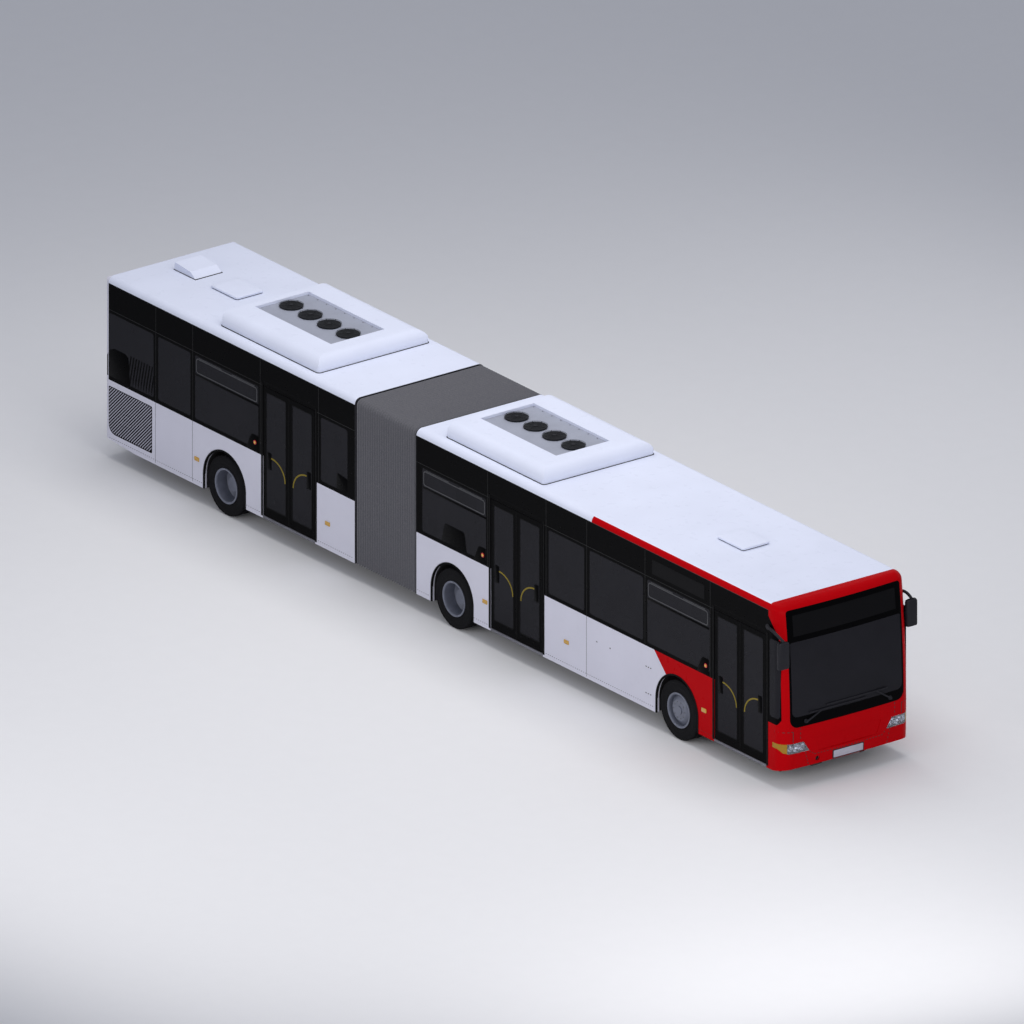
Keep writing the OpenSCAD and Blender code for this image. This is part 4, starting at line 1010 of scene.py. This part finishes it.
def roof_section(inset, top_steps=24, side_steps=12, foot=SKIRT):
    """Cross section of the body from the right skirt over the roof to the left skirt."""
    r = 0.11 - inset
    half = SIDE - inset
    shoulder = ROOF - 0.11
    pts = [(-half, foot + (shoulder - foot) * k / side_steps) for k in range(side_steps)]
    for k in range(7):
        t = math.pi - math.pi / 2 * k / 6
        pts.append((-half + r + r * math.cos(t), shoulder + r * math.sin(t)))
    run = 2 * (half - r)
    pts += [(-half + r + run * k / top_steps, ROOF - inset) for k in range(1, top_steps)]
    for k in range(7):
        t = math.pi / 2 - math.pi / 2 * k / 6
        pts.append((half - r + r * math.cos(t), shoulder + r * math.sin(t)))
    pts += [(half, shoulder + (foot - shoulder) * k / side_steps) for k in range(1, side_steps + 1)]
    return pts


FOLDS = 26
FOLD_STEPS = 6
FOLD_DEPTH = 0.032
HOOP = 0.02
pleats = Shape()
rows = []
x0, x1 = BELLOWS[0] + HOOP, BELLOWS[1] - HOOP
for k in range(FOLDS * FOLD_STEPS + 1):
    share = k / (FOLDS * FOLD_STEPS)
    inset = 0.006 + FOLD_DEPTH * (0.5 + 0.5 * math.cos(2 * math.pi * share * FOLDS))
    rows.append([(x0 + (x1 - x0) * share, y, z) for y, z in roof_section(inset)])
pleats.loft(rows, closed=False)
bellows = pleats.make("bellows_folds", bellows_cloth, None)
for f in bellows.data.polygons:
    f.use_smooth = True
# Painted shade for the fold hollows: 1 where a pleat sinks deepest, falling to 0 before the crests.
depth = bellows.data.attributes.new("fold_painted_shade", "FLOAT", "POINT")
depth.data.foreach_set("value", [
    max(0.0, math.cos(2 * math.pi * FOLDS * (v.co.x - x0) / (x1 - x0))) ** 2
    for v in bellows.data.vertices])
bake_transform(bellows)
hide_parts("bellows")
for x, sign, body, name in ((BELLOWS[0], 1, "rear_section", "rear_bellows_hoop"),
                            (BELLOWS[1], -1, "front_section", "front_bellows_hoop")):
    ring = Shape()
    inner_pts, outer_pts = roof_section(0.045), roof_section(0.001)
    rows = [[(x + sign * a, y, z) for y, z in pts] for a, pts in
            ((0.001, inner_pts), (0.001, outer_pts), (0.024, outer_pts), (0.024, inner_pts))]
    ring.loft([[row[k] for row in rows] for k in range(len(inner_pts))])
    ring.make(name, grained_black, body, bevel=0.002)

# ---- roof ----

for node in ("front_air_conditioner", "rear_air_conditioner"):
    own_paint(node, roof_paint, plate_grey, fan_black)
    low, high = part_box(node)
    plate_z = high[2] - 0.045
    for f in NODES[node].data.polygons:
        c = f.center
        along = c[0] - low[0] - 0.15
        if abs(c[1]) < 0.529 and plate_z - 0.002 < c[2] < high[2] - 0.005:
            if abs(c[2] - plate_z) < 0.001 and f.normal[2] > 0.9:
                f.material_index = 1
            elif abs(c[1]) < 0.2 and 0.02 < along < 1.98:
                f.material_index = 2
    body = node.split("_")[0] + "_section"
    guards = Shape()
    bolts = Shape()
    for k in range(4):
        centre = (low[0] + 0.15 + (k + 0.5) * 0.5, 0, plate_z)
        for r in (0.055, 0.1, 0.145, 0.197):
            ring = [(centre[0] + r * math.cos(t * math.pi / 16), r * math.sin(t * math.pi / 16),
                     plate_z + 0.032) for t in range(33)]
            guards.tube(ring, 0.003, 6)
        for a in range(8):
            t = a * math.pi / 4 + math.pi / 8
            c, s = math.cos(t), math.sin(t)
            guards.tube([(centre[0] + 0.03 * c, 0.03 * s, plate_z + 0.032),
                         (centre[0] + 0.197 * c, 0.197 * s, plate_z + 0.032),
                         (centre[0] + 0.204 * c, 0.204 * s, plate_z + 0.001)], 0.003, 6)
        guards.turned([(0.0001, 0.024), (0.035, 0.024), (0.035, 0.036), (0.0001, 0.038)], centre,
                      (0, 0, 1), 20)
    for x in [low[0] + 0.19 + 0.24 * k for k in range(9)]:
        for y in (-0.495, 0.495):
            bolts.turned([(0.0001, -0.001), (0.012, -0.001), (0.011, 0.005), (0.0001, 0.007)],
                         (x, y, plate_z), (0, 0, 1), 12)
    for y in (-1.0, 1.0):
        for x in [low[0] + 0.35 + 0.45 * k for k in range(5)]:
            bolts.turned([(0.0001, -0.02), (0.014, -0.02), (0.014, 0.004), (0.0001, 0.008)],
                         (x, y, ROOF + 0.169), (0, 0.0, 1), 12)
    guards.make(node + "_fan_guards", fan_black, body)
    bolts.make(node + "_bolts", bare_steel, body)
    skirt = Shape()
    outline = rounded(low[0] - 0.012, high[0] + 0.012, low[1] - 0.012, high[1] + 0.012, 0.07)
    inner_line = rounded(low[0] + 0.02, high[0] - 0.02, low[1] + 0.02, high[1] - 0.02, 0.05)
    skirt.loft([[(x, y, z) for x, y in pts] for pts, z in
                ((outline, ROOF), (outline, ROOF + 0.006), (inner_line, ROOF + 0.012),
                 (inner_line, ROOF))], loop=True)
    skirt.make(node + "_seal", rubber, body, bevel=0.001)

for node in ("front_roof_hatch", "rear_roof_hatch"):
    low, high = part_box(node)
    body = node.split("_")[0] + "_section"
    cover = Shape()
    levels = [(0.010, 0.012), (0.0, 0.016), (0.0, 0.040), (0.008, 0.050), (0.03, 0.0545),
              (0.10, 0.0555)]
    cover.loft([[(x, y, ROOF + h) for x, y in
                 rounded(low[0] + i, high[0] - i, low[1] + i, high[1] - i, 0.05 + i * 0.5)]
                for i, h in levels])
    hatch = cover.make(node + "_cover", roof_paint, body, slot="roof_paint")
    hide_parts(node)
    rim = Shape()
    outer = rounded(low[0] + 0.012, high[0] - 0.012, low[1] + 0.012, high[1] - 0.012, 0.05)
    rim.loft([[(x, y, ROOF + h) for x, y in outer] for h in (0.0, 0.0125)])
    for s in (-1, 1):
        y = s * (high[1] - 0.11)
        rim.box((low[0] - 0.03, y - 0.03, ROOF), (low[0] + 0.02, y + 0.03, ROOF + 0.022))
    rim.make(node + "_seal", rubber, body, bevel=0.002)

low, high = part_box("roof_vent_cowl")
cowl = Shape()
for k in range(7):
    z = ROOF + 0.02 + 0.013 * k
    cowl.box((low[0] - 0.006 + 0.02 * (z - ROOF) / 0.13, -0.22, z),
             (low[0] + 0.03, 0.22, z + 0.006))
cowl.box((low[0] - 0.012, low[1] - 0.012, ROOF), (high[0] + 0.012, high[1] + 0.012, ROOF + 0.006))
cowl.make("roof_vent_grille", grained_black, "rear_section", bevel=0.001)

# ---- tail ----


def at_tail(y, z, d):
    return (TAIL + d, y, z)


own_paint("tail_lamps", lens_red, lens_amber)
for f in NODES["tail_lamps"].data.polygons:
    if 1.08 < f.center[2] < 1.22:
        f.material_index = 1
bezels = Shape()
for hand in (1, -1):
    for z in (1.01, 1.15, 1.29):
        bezels.turned([(0.0545, 0.0), (0.0635, 0.0), (0.062, 0.007), (0.0565, 0.008),
                       (0.0545, 0.004)], (TAIL + 0.001, hand * (SIDE - 0.125), z), (-1, 0, 0), 40)
        bezels.turned([(0.030, 0.0), (0.034, 0.0), (0.034, 0.003), (0.030, 0.003)],
                      (TAIL - 0.0005, hand * (SIDE - 0.125), z), (-1, 0, 0), 32)
bezels.make("tail_lamp_bezels", grained_black, "rear_section")

lid = Shape()
for k in range(13):
    z = 0.80 + 0.032 * k
    lid.loft([[(TAIL + 0.001, y, z), (TAIL - 0.012, y, z + 0.004), (TAIL - 0.012, y, z + 0.009),
               (TAIL + 0.001, y, z + 0.024)] for y in (-0.62, 0.62)])
lid.make("engine_lid_louvres", grained_black, "engine_lid", bevel=0.001)
handle = Shape()
for s in (-1, 1):
    handle.turned([(0.0001, -0.004), (0.024, -0.004), (0.024, 0.005), (0.0001, 0.007)],
                  (TAIL, s * 0.78, 0.60), (-1, 0, 0), 24)
handle.prism(rounded(-0.26, 0.26, 0.585, 0.705, 0.01), at_tail,
             0.001, -0.004)
handle.make("engine_lid_plate", plate_blank, "engine_lid", bevel=0.0015)
rear_lines = Shape()
for z in (0.50, 1.345, 2.74):
    rear_lines.box((TAIL - LIFT, -SIDE + 0.13, z - 0.003), (TAIL + 0.001, SIDE - 0.13, z + 0.003))
for s in (-1, 1):
    rear_lines.box((TAIL - LIFT, s * 0.93 - 0.003, 0.5), (TAIL + 0.001, s * 0.93 + 0.003, 1.345))
rear_lines.make("tail_seams", seam_dark, "rear_section", smooth=False)
gasket = Shape()
outer = rounded(-0.865, 0.865, 1.585, 2.465, 0.09)
inner = rounded(-0.84, 0.84, 1.61, 2.44, 0.07)
gasket.loft([[(TAIL + d, y, z) for y, z in pts] for pts, d in
             ((outer, 0.001), (outer, -0.004), (inner, -0.004), (inner, 0.001))], loop=True)
gasket.make("rear_window_gasket", rubber, "rear_section")
shown = Shape()
shown.prism(rounded(-0.55, 0.55, 2.52, 2.70, 0.015), at_tail, 0.001, -0.002)
shown.make("rear_display", display_dark, "rear_section")

# ---- nose fittings ----

lines = Shape()


def front_line(points, width=0.012, dash=None):
    """A thin line on the nose through (y, z) points, broken into dashes if asked."""
    for (ya, za), (yb, zb) in zip(points, points[1:]):
        length = math.hypot(yb - ya, zb - za)
        n = max(1, int(length / dash)) if dash else max(1, int(length / 0.1))
        for k in range(n):
            a, b = k / n, (k + (0.5 if dash else 1)) / n
            ey, ez = -(zb - za) / length * width / 2, (yb - ya) / length * width / 2
            quad = []
            for t, s in ((a, -1), (b, -1), (b, 1), (a, 1)):
                y = ya + (yb - ya) * t + s * ey
                z = za + (zb - za) * t + s * ez
                quad.append((y, z))
            rings = []
            for d in (0.001, -LIFT):
                rings.append([nose_at(u_of(y), z, d) for y, z in quad])
            lines.loft(rings)


def u_of(y):
    """Distance round the nose's plan that reaches sideways position y."""
    s = 1 if y >= 0 else -1
    y = abs(y)
    if y <= FRONT_LEN:
        return s * y
    return s * (FRONT_LEN + CORNER_R * math.asin(min(1, (y - CORNER_Y) / CORNER_R)))


front_line([(-0.76, 0.59), (-0.66, 0.52), (0.66, 0.52), (0.76, 0.59)], dash=0.06)
for s in (1, -1):
    front_line([(s * 0.83, 0.59), (s * 0.77, 0.34)], dash=0.06)
    front_line([(s * 0.93, 1.02), (s * 0.93, 0.80)], dash=0.06)
    front_line([(s * 1.07, 0.98), (s * 1.07, 0.80)], 0.012)
    front_line([(s * 1.07, 0.98), (s * 1.32, 0.98), (s * 1.32, 0.80)], 0.012, 0.06)
lines.make("nose_seams", seam_dark, "front_section", smooth=False)
for name, outline, mat, depths in (
        ("number_plate", rounded(-0.29, 0.29, 0.368, 0.486, 0.012), plate_blank, (-0.004, 0.008)),
        ("number_plate_frame", rounded(-0.31, 0.31, 0.352, 0.502, 0.015), grained_black,
         (-0.006, 0.003))):
    plate = prism_of(outline, lambda y, z, d: (nose_at(y, z)[0] + d, y, z), *depths)
    plate.make(name, mat, "front_section", bevel=0.002)
caps = Shape()
for s in (1, -1):
    x = nose_at(0.83, 1.12)[0]
    caps.turned([(0.0001, 0.0), (0.036, 0.0), (0.036, 0.010), (0.024, 0.022), (0.0001, 0.026)],
                (x, s * 0.83, 1.12), (1, 0, 0), 28)
caps.make("wiper_caps", grained_black, "front_section")

housings = Shape()
glasses = Shape()
MIRROR = {-1: (NOSE + 0.125, -SIDE - 0.112), 1: (MASK + 0.26, SIDE + 0.075)}
for hand, (x, y) in MIRROR.items():
    levels = ((0.022, 2.178), (0.005, 2.186), (0.0, 2.205), (0.0, 2.585), (0.005, 2.615),
              (0.024, 2.634))
    housings.loft([[(px, py, z) for px, py in rounded(x - 0.052 + i, x + 0.05 - i,
                                                      y - 0.105 + i, y + 0.105 - i, 0.04)]
                   for i, z in levels])
    start = (MASK - 0.01, hand * (SIDE - 0.012), 2.70)
    bend = [start]
    for k in range(1, 12):
        t = k / 11
        bend.append((start[0] + (x - start[0]) * t ** 1.1,
                     start[1] + (y - start[1]) * math.sin(t * math.pi / 2) ** 0.7,
                     2.70 + 0.03 * math.sin(t * math.pi) - 0.05 * t * t))
    bend.append((x, y, 2.60))
    housings.tube(bend, 0.025, 14)
    housings.turned([(0.0001, -0.004), (0.05, -0.004), (0.05, 0.012), (0.036, 0.022),
                     (0.0001, 0.024)], (start[0], hand * SIDE, 2.70), (0, hand, 0), 24)
    for z0, z1 in ((2.345, 2.575), (2.21, 2.325)):
        glasses.prism(rounded(y - 0.082, y + 0.082, z0, z1, 0.03),
                      lambda a, b, d: (x - 0.052 + d, a, b), 0.002, -0.0025)
made = housings.make("mirror_housings", grained_black, "front_section", slot="black_plastic")
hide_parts("mirrors")
glasses.make("mirror_glasses", mirror_glass, "front_section", bevel=0.001)

# ---- wheels ----

RIM_R = 0.2855


def tyre(shape, centre, width, hand, lugs):
    """Tyre with grooves round it and cuts across its shoulders."""
    half = width / 2
    deep = TYRE_R - 0.011
    lands = 5
    top = []
    span = 2 * half - 0.06
    for k in range(lands):
        a = -half + 0.03 + span * k / lands
        b = -half + 0.03 + span * (k + 1) / lands
        g = 0.0045
        top += [(TYRE_R, a + g, 1 if k in (0, lands - 1) else 0),
                (TYRE_R, b - g, 1 if k in (0, lands - 1) else 0)]
        if k < lands - 1:
            top += [(deep, b - g + 0.001, 0), (deep, b + g - 0.001, 0)]
    low = [(RIM_R, -half + 0.035, 0), (RIM_R + 0.014, -half + 0.014, 0),
           (RIM_R + 0.022, -half + 0.010, 0), (RIM_R + 0.030, -half + 0.012, 0),
           (RIM_R + 0.075, -half + 0.002, 0), (RIM_R + 0.080, -half + 0.0035, 0),
           (RIM_R + 0.086, -half + 0.001, 0), (RIM_R + 0.130, -half + 0.001, 0),
           (TYRE_R - 0.052, -half + 0.008, 0), (TYRE_R - 0.046, -half + 0.005, 0),
           (TYRE_R - 0.022, -half + 0.009, 1), (TYRE_R - 0.007, -half + 0.018, 1)]
    high = [(r, -h, f) for r, h, f in reversed(low)]
    profile = low + top + high
    sides = 216
    axis = Vector((0, hand, 0))
    rings = []
    for j in range(sides):
        t = 2 * math.pi * j / sides
        out = Vector((math.cos(t), 0, math.sin(t)))
        cut = j % 6 in (0, 1) if lugs else j % 4 == 0
        rings.append([Vector(centre) + out * (min(r, deep) if cut and f else r) + axis * h
                      for r, h, f in profile])
    shape.loft(rings, caps=False, loop=True)


def ring_of(shape, centre, r, count, axis, profile, sides=14, start=0.0):
    """Turned pieces, such as nuts, evenly round a wheel."""
    for k in range(count):
        t = 2 * math.pi * k / count + start
        shape.turned(profile, (centre[0] + r * math.cos(t), centre[1], centre[2] + r * math.sin(t)),
                     axis, sides)


for place, (ax, az) in AXLES.items():
    for hand, side in ((1, "left"), (-1, "right")):
        body = f"{place}_{side}_wheel"
        low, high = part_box(f"{place}_{side}_tyre")
        y_mid = (low[1] + high[1]) / 2
        t_shape = Shape()
        if place == "front":
            tyre(t_shape, (ax, y_mid, az), 0.29, hand, False)
        else:
            for off in (-0.1625, 0.1625):
                tyre(t_shape, (ax, y_mid + hand * off, az), 0.285, hand, True)
        made = t_shape.make(f"{place}_{side}_tread", tyre_rubber, body, slot="tyre_rubber")
        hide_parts(f"{place}_{side}_tyre")
        out = (0, hand, 0)
        nuts = Shape()
        trim = Shape()
        nut = [(0.0001, -0.004), (0.017, -0.004), (0.017, 0.004), (0.0145, 0.006), (0.0145, 0.024),
               (0.0085, 0.027), (0.0085, 0.036), (0.0001, 0.038)]
        if place == "front":
            face = y_mid + hand * 0.104
            ring_of(nuts, (ax, face, az), 0.140, 10, out, nut, 6)
            ring_of(nuts, (ax, y_mid + hand * 0.1, az), 0.052, 8, out,
                    [(0.0001, 0.0), (0.008, 0.0), (0.008, 0.034), (0.0001, 0.036)], 10)
            trim.turned([(RIM_R - 0.004, 0.126), (RIM_R + 0.010, 0.137), (RIM_R + 0.008, 0.144),
                         (RIM_R - 0.012, 0.141), (RIM_R - 0.026, 0.120), (RIM_R - 0.024, 0.112)],
                        (ax, y_mid, az), out, 72)
        else:
            face = y_mid + hand * 0.036
            ring_of(nuts, (ax, face, az), 0.150, 10, out, nut, 6)
            trim.turned([(RIM_R - 0.004, 0.286), (RIM_R + 0.010, 0.297), (RIM_R + 0.008, 0.304),
                         (RIM_R - 0.012, 0.301), (RIM_R - 0.026, 0.280), (RIM_R - 0.024, 0.272)],
                        (ax, y_mid, az), out, 72)
        nuts.make(f"{place}_{side}_nuts", bare_steel, body)
        trim.make(f"{place}_{side}_rim_edge", wheel_grey, body)

# ---- seats ----


def pad(name, low, high, body, crown, axis):
    """Cushion: a closed pad with rounded edges, a crowned face and a seam round its side."""
    low, high = Vector(low), Vector(high)
    size = high - low
    bm = bmesh.new()
    bmesh.ops.create_cube(bm, size=1.0)
    for v in bm.verts:
        v.co = Vector((low[i] + size[i] * (v.co[i] + 0.5) for i in range(3)))
    bmesh.ops.bevel(bm, geom=list(bm.edges), offset=min(size) * 0.34, segments=3, profile=0.6,
                    affect="EDGES", clamp_overlap=True)
    bmesh.ops.subdivide_edges(bm, edges=[e for e in bm.edges if e.calc_length() > 0.08], cuts=5,
                              use_grid_fill=True)
    middle = (low + high) / 2
    for v in bm.verts:
        part = [abs(v.co[i] - middle[i]) / (size[i] / 2) for i in range(3)]
        others = [part[i] for i in range(3) if i != axis]
        lift = crown * (1 - others[0] ** 2.2) * (1 - others[1] ** 2.2)
        if v.co[axis] > middle[axis]:
            v.co[axis] += lift
        dip = 0.0035 * math.exp(-((others[0] - 0.62) / 0.03) ** 2)
        if part[axis] > 0.9:
            v.co[axis] -= dip
    mesh = bpy.data.meshes.new(name)
    bm.to_mesh(mesh)
    bm.free()
    mesh.materials.append(seat_cloth)
    ob = settle(name, mesh, body)
    sub = ob.modifiers.new("round", "SUBSURF")
    sub.levels = sub.render_levels = 1


def bench(shell, body, x, y, z, count, name):
    """Seats facing forward: cushions on moulded shells, on one pedestal."""
    w, d, h, t, back = 0.43, 0.43, 0.42, 0.07, 0.62
    for k in range(count):
        cy = y + (k - (count - 1) / 2) * w
        a, b = cy - w / 2 + 0.012, cy + w / 2 - 0.012
        # moulded shell in one sweep from the seat's front lip up the back
        line = []
        for u in range(7):
            line.append((x + d / 2 - 0.01 - 0.36 * u / 6, z + h - t + 0.006))
        for u in range(1, 6):
            ang = math.pi / 2 * u / 5
            line.append((x - d / 2 + 0.06 - 0.06 * math.sin(ang),
                         z + h - t + 0.006 + 0.06 * (1 - math.cos(ang))))
        for u in range(1, 8):
            line.append((x - d / 2 - 0.045 * u / 7, z + h + (back - 0.01) * u / 7))
        rings = []
        for i, (lx, lz) in enumerate(line):
            p = Vector(line[max(i - 1, 0)])
            q = Vector(line[min(i + 1, len(line) - 1)])
            along = (q - p).normalized()
            nx, nz = -along.y, along.x
            ring = []
            taper = 0.018 if i == len(line) - 1 else 0.0
            for yy, off in ((a + taper, 0.0), (b - taper, 0.0), (b - taper, 0.012),
                            (a + taper, 0.012)):
                ring.append((lx + nx * off, yy, lz + nz * off))
            rings.append(ring)
        shell.loft(rings)
        pad(f"{name}_seat_{k + 1}", (x - d / 2 + 0.045, a + 0.02, z + h - t + 0.012),
            (x + d / 2 - 0.02, b - 0.02, z + h - 0.012), body, 0.008, 2)
        pad(f"{name}_back_{k + 1}", (x - d / 2 - 0.012, a + 0.02, z + h + 0.09),
            (x - d / 2 + 0.03, b - 0.02, z + h + back - 0.07), body, 0.008, 0)
        shell.tube([(x - d / 2 - 0.02, cy - 0.13, z + h + back - 0.02),
                    (x - d / 2 - 0.02, cy - 0.12, z + h + back + 0.02),
                    (x - d / 2 - 0.02, cy, z + h + back + 0.028),
                    (x - d / 2 - 0.02, cy + 0.12, z + h + back + 0.02),
                    (x - d / 2 - 0.02, cy + 0.13, z + h + back - 0.02)], 0.011, 10)
    w = count * w
    shell.box((x - 0.05, y - w / 2 + 0.07, z), (x + 0.05, y + w / 2 - 0.07, z + 0.02))
    for s in (-1, 1):
        yy = y + s * (w / 2 - 0.12)
        shell.loft([[(x + px, yy + py, zz) for px, py in
                     rounded(-g, g, -0.02, 0.02, 0.012, 3)]
                    for g, zz in ((0.055, z + 0.01), (0.035, z + 0.12), (0.035, z + 0.24),
                                  (0.15, z + h - t + 0.008))])


INNER = SIDE - 0.06
BENCH_Y = INNER - 0.012 - 0.43
FLOOR = 0.318
first, last = DOORS["middle"] + DOOR_HALF + 0.6, AXLES["front"][0] - 0.6 - 0.33
box_top = ARCH_Z + ARCH_R + 0.025
shell = Shape()
k = 0
for x in (first, (first + last) / 2, last):
    for s in (-1, 1):
        k += 1
        bench(shell, "front_section", x, s * BENCH_Y, FLOOR, 2, f"front_bench_{k}")
for s in (-1, 1):
    k += 1
    box_y = s * (INNER - 0.012 - 0.215 - 0.13)
    bench(shell, "front_section", AXLES["middle"][0], box_y, box_top, 1,
          f"front_bench_{k}")
bench(shell, "front_section", DOORS["front"] - 0.1, 0.78, FLOOR + 0.15, 1, "driver")
made = shell.make("front_seat_shells", shell_grey, "front_section", slot="seat_fabric")
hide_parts("front_seats")
first, last = AXLES["rear"][0] + ARCH_R + 0.42, BELLOWS[0] - 0.3
podium = TAIL + 1.42
shell = Shape()
k = 0
for x, s in ((first, 1), ((first + last) / 2, 1), (last, 1), (last, -1), (podium + 0.35, 1),
             (podium + 0.35, -1)):
    k += 1
    bench(shell, "rear_section", x, s * BENCH_Y, FLOOR, 2, f"rear_bench_{k}")
bench(shell, "rear_section", podium - 0.6, 0, 1.0, 4, "rear_bench_7")
made = shell.make("rear_seat_shells", shell_grey, "rear_section", slot="seat_fabric")
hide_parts("rear_seats")

# ---- cab ----

cab = Shape()
dash_x = NOSE - 0.42
for k in range(9):
    cab.prism(rounded(0.42 + 0.075 * k, 0.47 + 0.075 * k, 0.955, 0.995, 0.008, 3),
              lambda y, z, d: (dash_x - 0.121 - d, y, z), -0.002, 0.004)
cab.prism(rounded(0.62, 0.95, 0.84, 0.94, 0.015, 4), lambda y, z, d: (dash_x - 0.121 - d, y, z),
          -0.002, 0.006)
cab.box((dash_x - 0.11, 0.38, 1.021), (dash_x + 0.19, 1.08, 1.034))
cab.make("dashboard_fittings", grained_black, "front_section", bevel=0.002)

# ---- camera and light ----

AZ, EL = math.radians(53.15), math.radians(21.8)
target = Vector((0, 0, 1.644))
back = Vector((math.sin(AZ) * math.cos(EL), -math.cos(AZ) * math.cos(EL), math.sin(EL)))
cam_data = bpy.data.cameras.new("camera")
cam_data.type = "ORTHO"
cam_data.ortho_scale = 16.20
cam_data.clip_end = 200
cam = bpy.data.objects.new("camera", cam_data)
cam.location = target + back * 40
cam.rotation_euler = (math.pi / 2 - EL, 0, AZ)
bpy.context.scene.collection.objects.link(cam)
bpy.context.scene.camera = cam

world = bpy.data.worlds.new("studio")
bpy.context.scene.world = world
world.use_nodes = True
wt = world.node_tree
wt.nodes.clear()
paths = wt.nodes.new("ShaderNodeLightPath")
most = wt.nodes.new("ShaderNodeMath")
most.operation = "MAXIMUM"
wt.links.new(paths.outputs["Is Camera Ray"], most.inputs[0])
wt.links.new(paths.outputs["Is Transmission Ray"], most.inputs[1])
seen = wt.nodes.new("ShaderNodeBackground")
seen.inputs["Color"].default_value = (1, 1, 1, 1)
seen.inputs["Strength"].default_value = 1.0
lit = wt.nodes.new("ShaderNodeBackground")
lit.inputs["Color"].default_value = (0.84, 0.88, 1.0, 1)
lit.inputs["Strength"].default_value = 0.42
pick = wt.nodes.new("ShaderNodeMixShader")
wt.links.new(most.outputs[0], pick.inputs[0])
wt.links.new(lit.outputs[0], pick.inputs[1])
wt.links.new(seen.outputs[0], pick.inputs[2])
wt.links.new(pick.outputs[0], wt.nodes.new("ShaderNodeOutputWorld").inputs[0])


def lamp(name, at, power, size, towards=(0, 0, 1.2)):
    data = bpy.data.lights.new(name, "AREA")
    data.energy = power
    data.shape = "RECTANGLE"
    data.size, data.size_y = size
    data.color = (1.0, 0.98, 0.96)
    ob = bpy.data.objects.new(name, data)
    ob.location = at
    ob.rotation_euler = (Vector(towards) - Vector(at)).to_track_quat("-Z", "Y").to_euler()
    bpy.context.scene.collection.objects.link(ob)


lamp("overhead", (0, 0, 12), 1070, (22, 8), (0, 0, 0))
lamp("right_side", (2, -16, 7), 690, (22, 6))
lamp("nose_side", (18, -6, 6), 540, (10, 6))
lamp("left_side", (0, 15, 8), 270, (20, 6))

floor_mesh = bpy.data.meshes.new("studio_floor")
floor_mesh.from_pydata([(-60, -60, -0.002), (60, -60, -0.002), (60, 60, -0.002), (-60, 60, -0.002)],
                       [], [(0, 1, 2, 3)])
floor_mesh.materials.append(surface("studio_floor", (236, 236, 238), 0.9, shade=0.005))
ground = bpy.data.objects.new("studio_floor", floor_mesh)
bpy.context.scene.collection.objects.link(ground)

bpy.context.scene.view_settings.view_transform = "Standard"
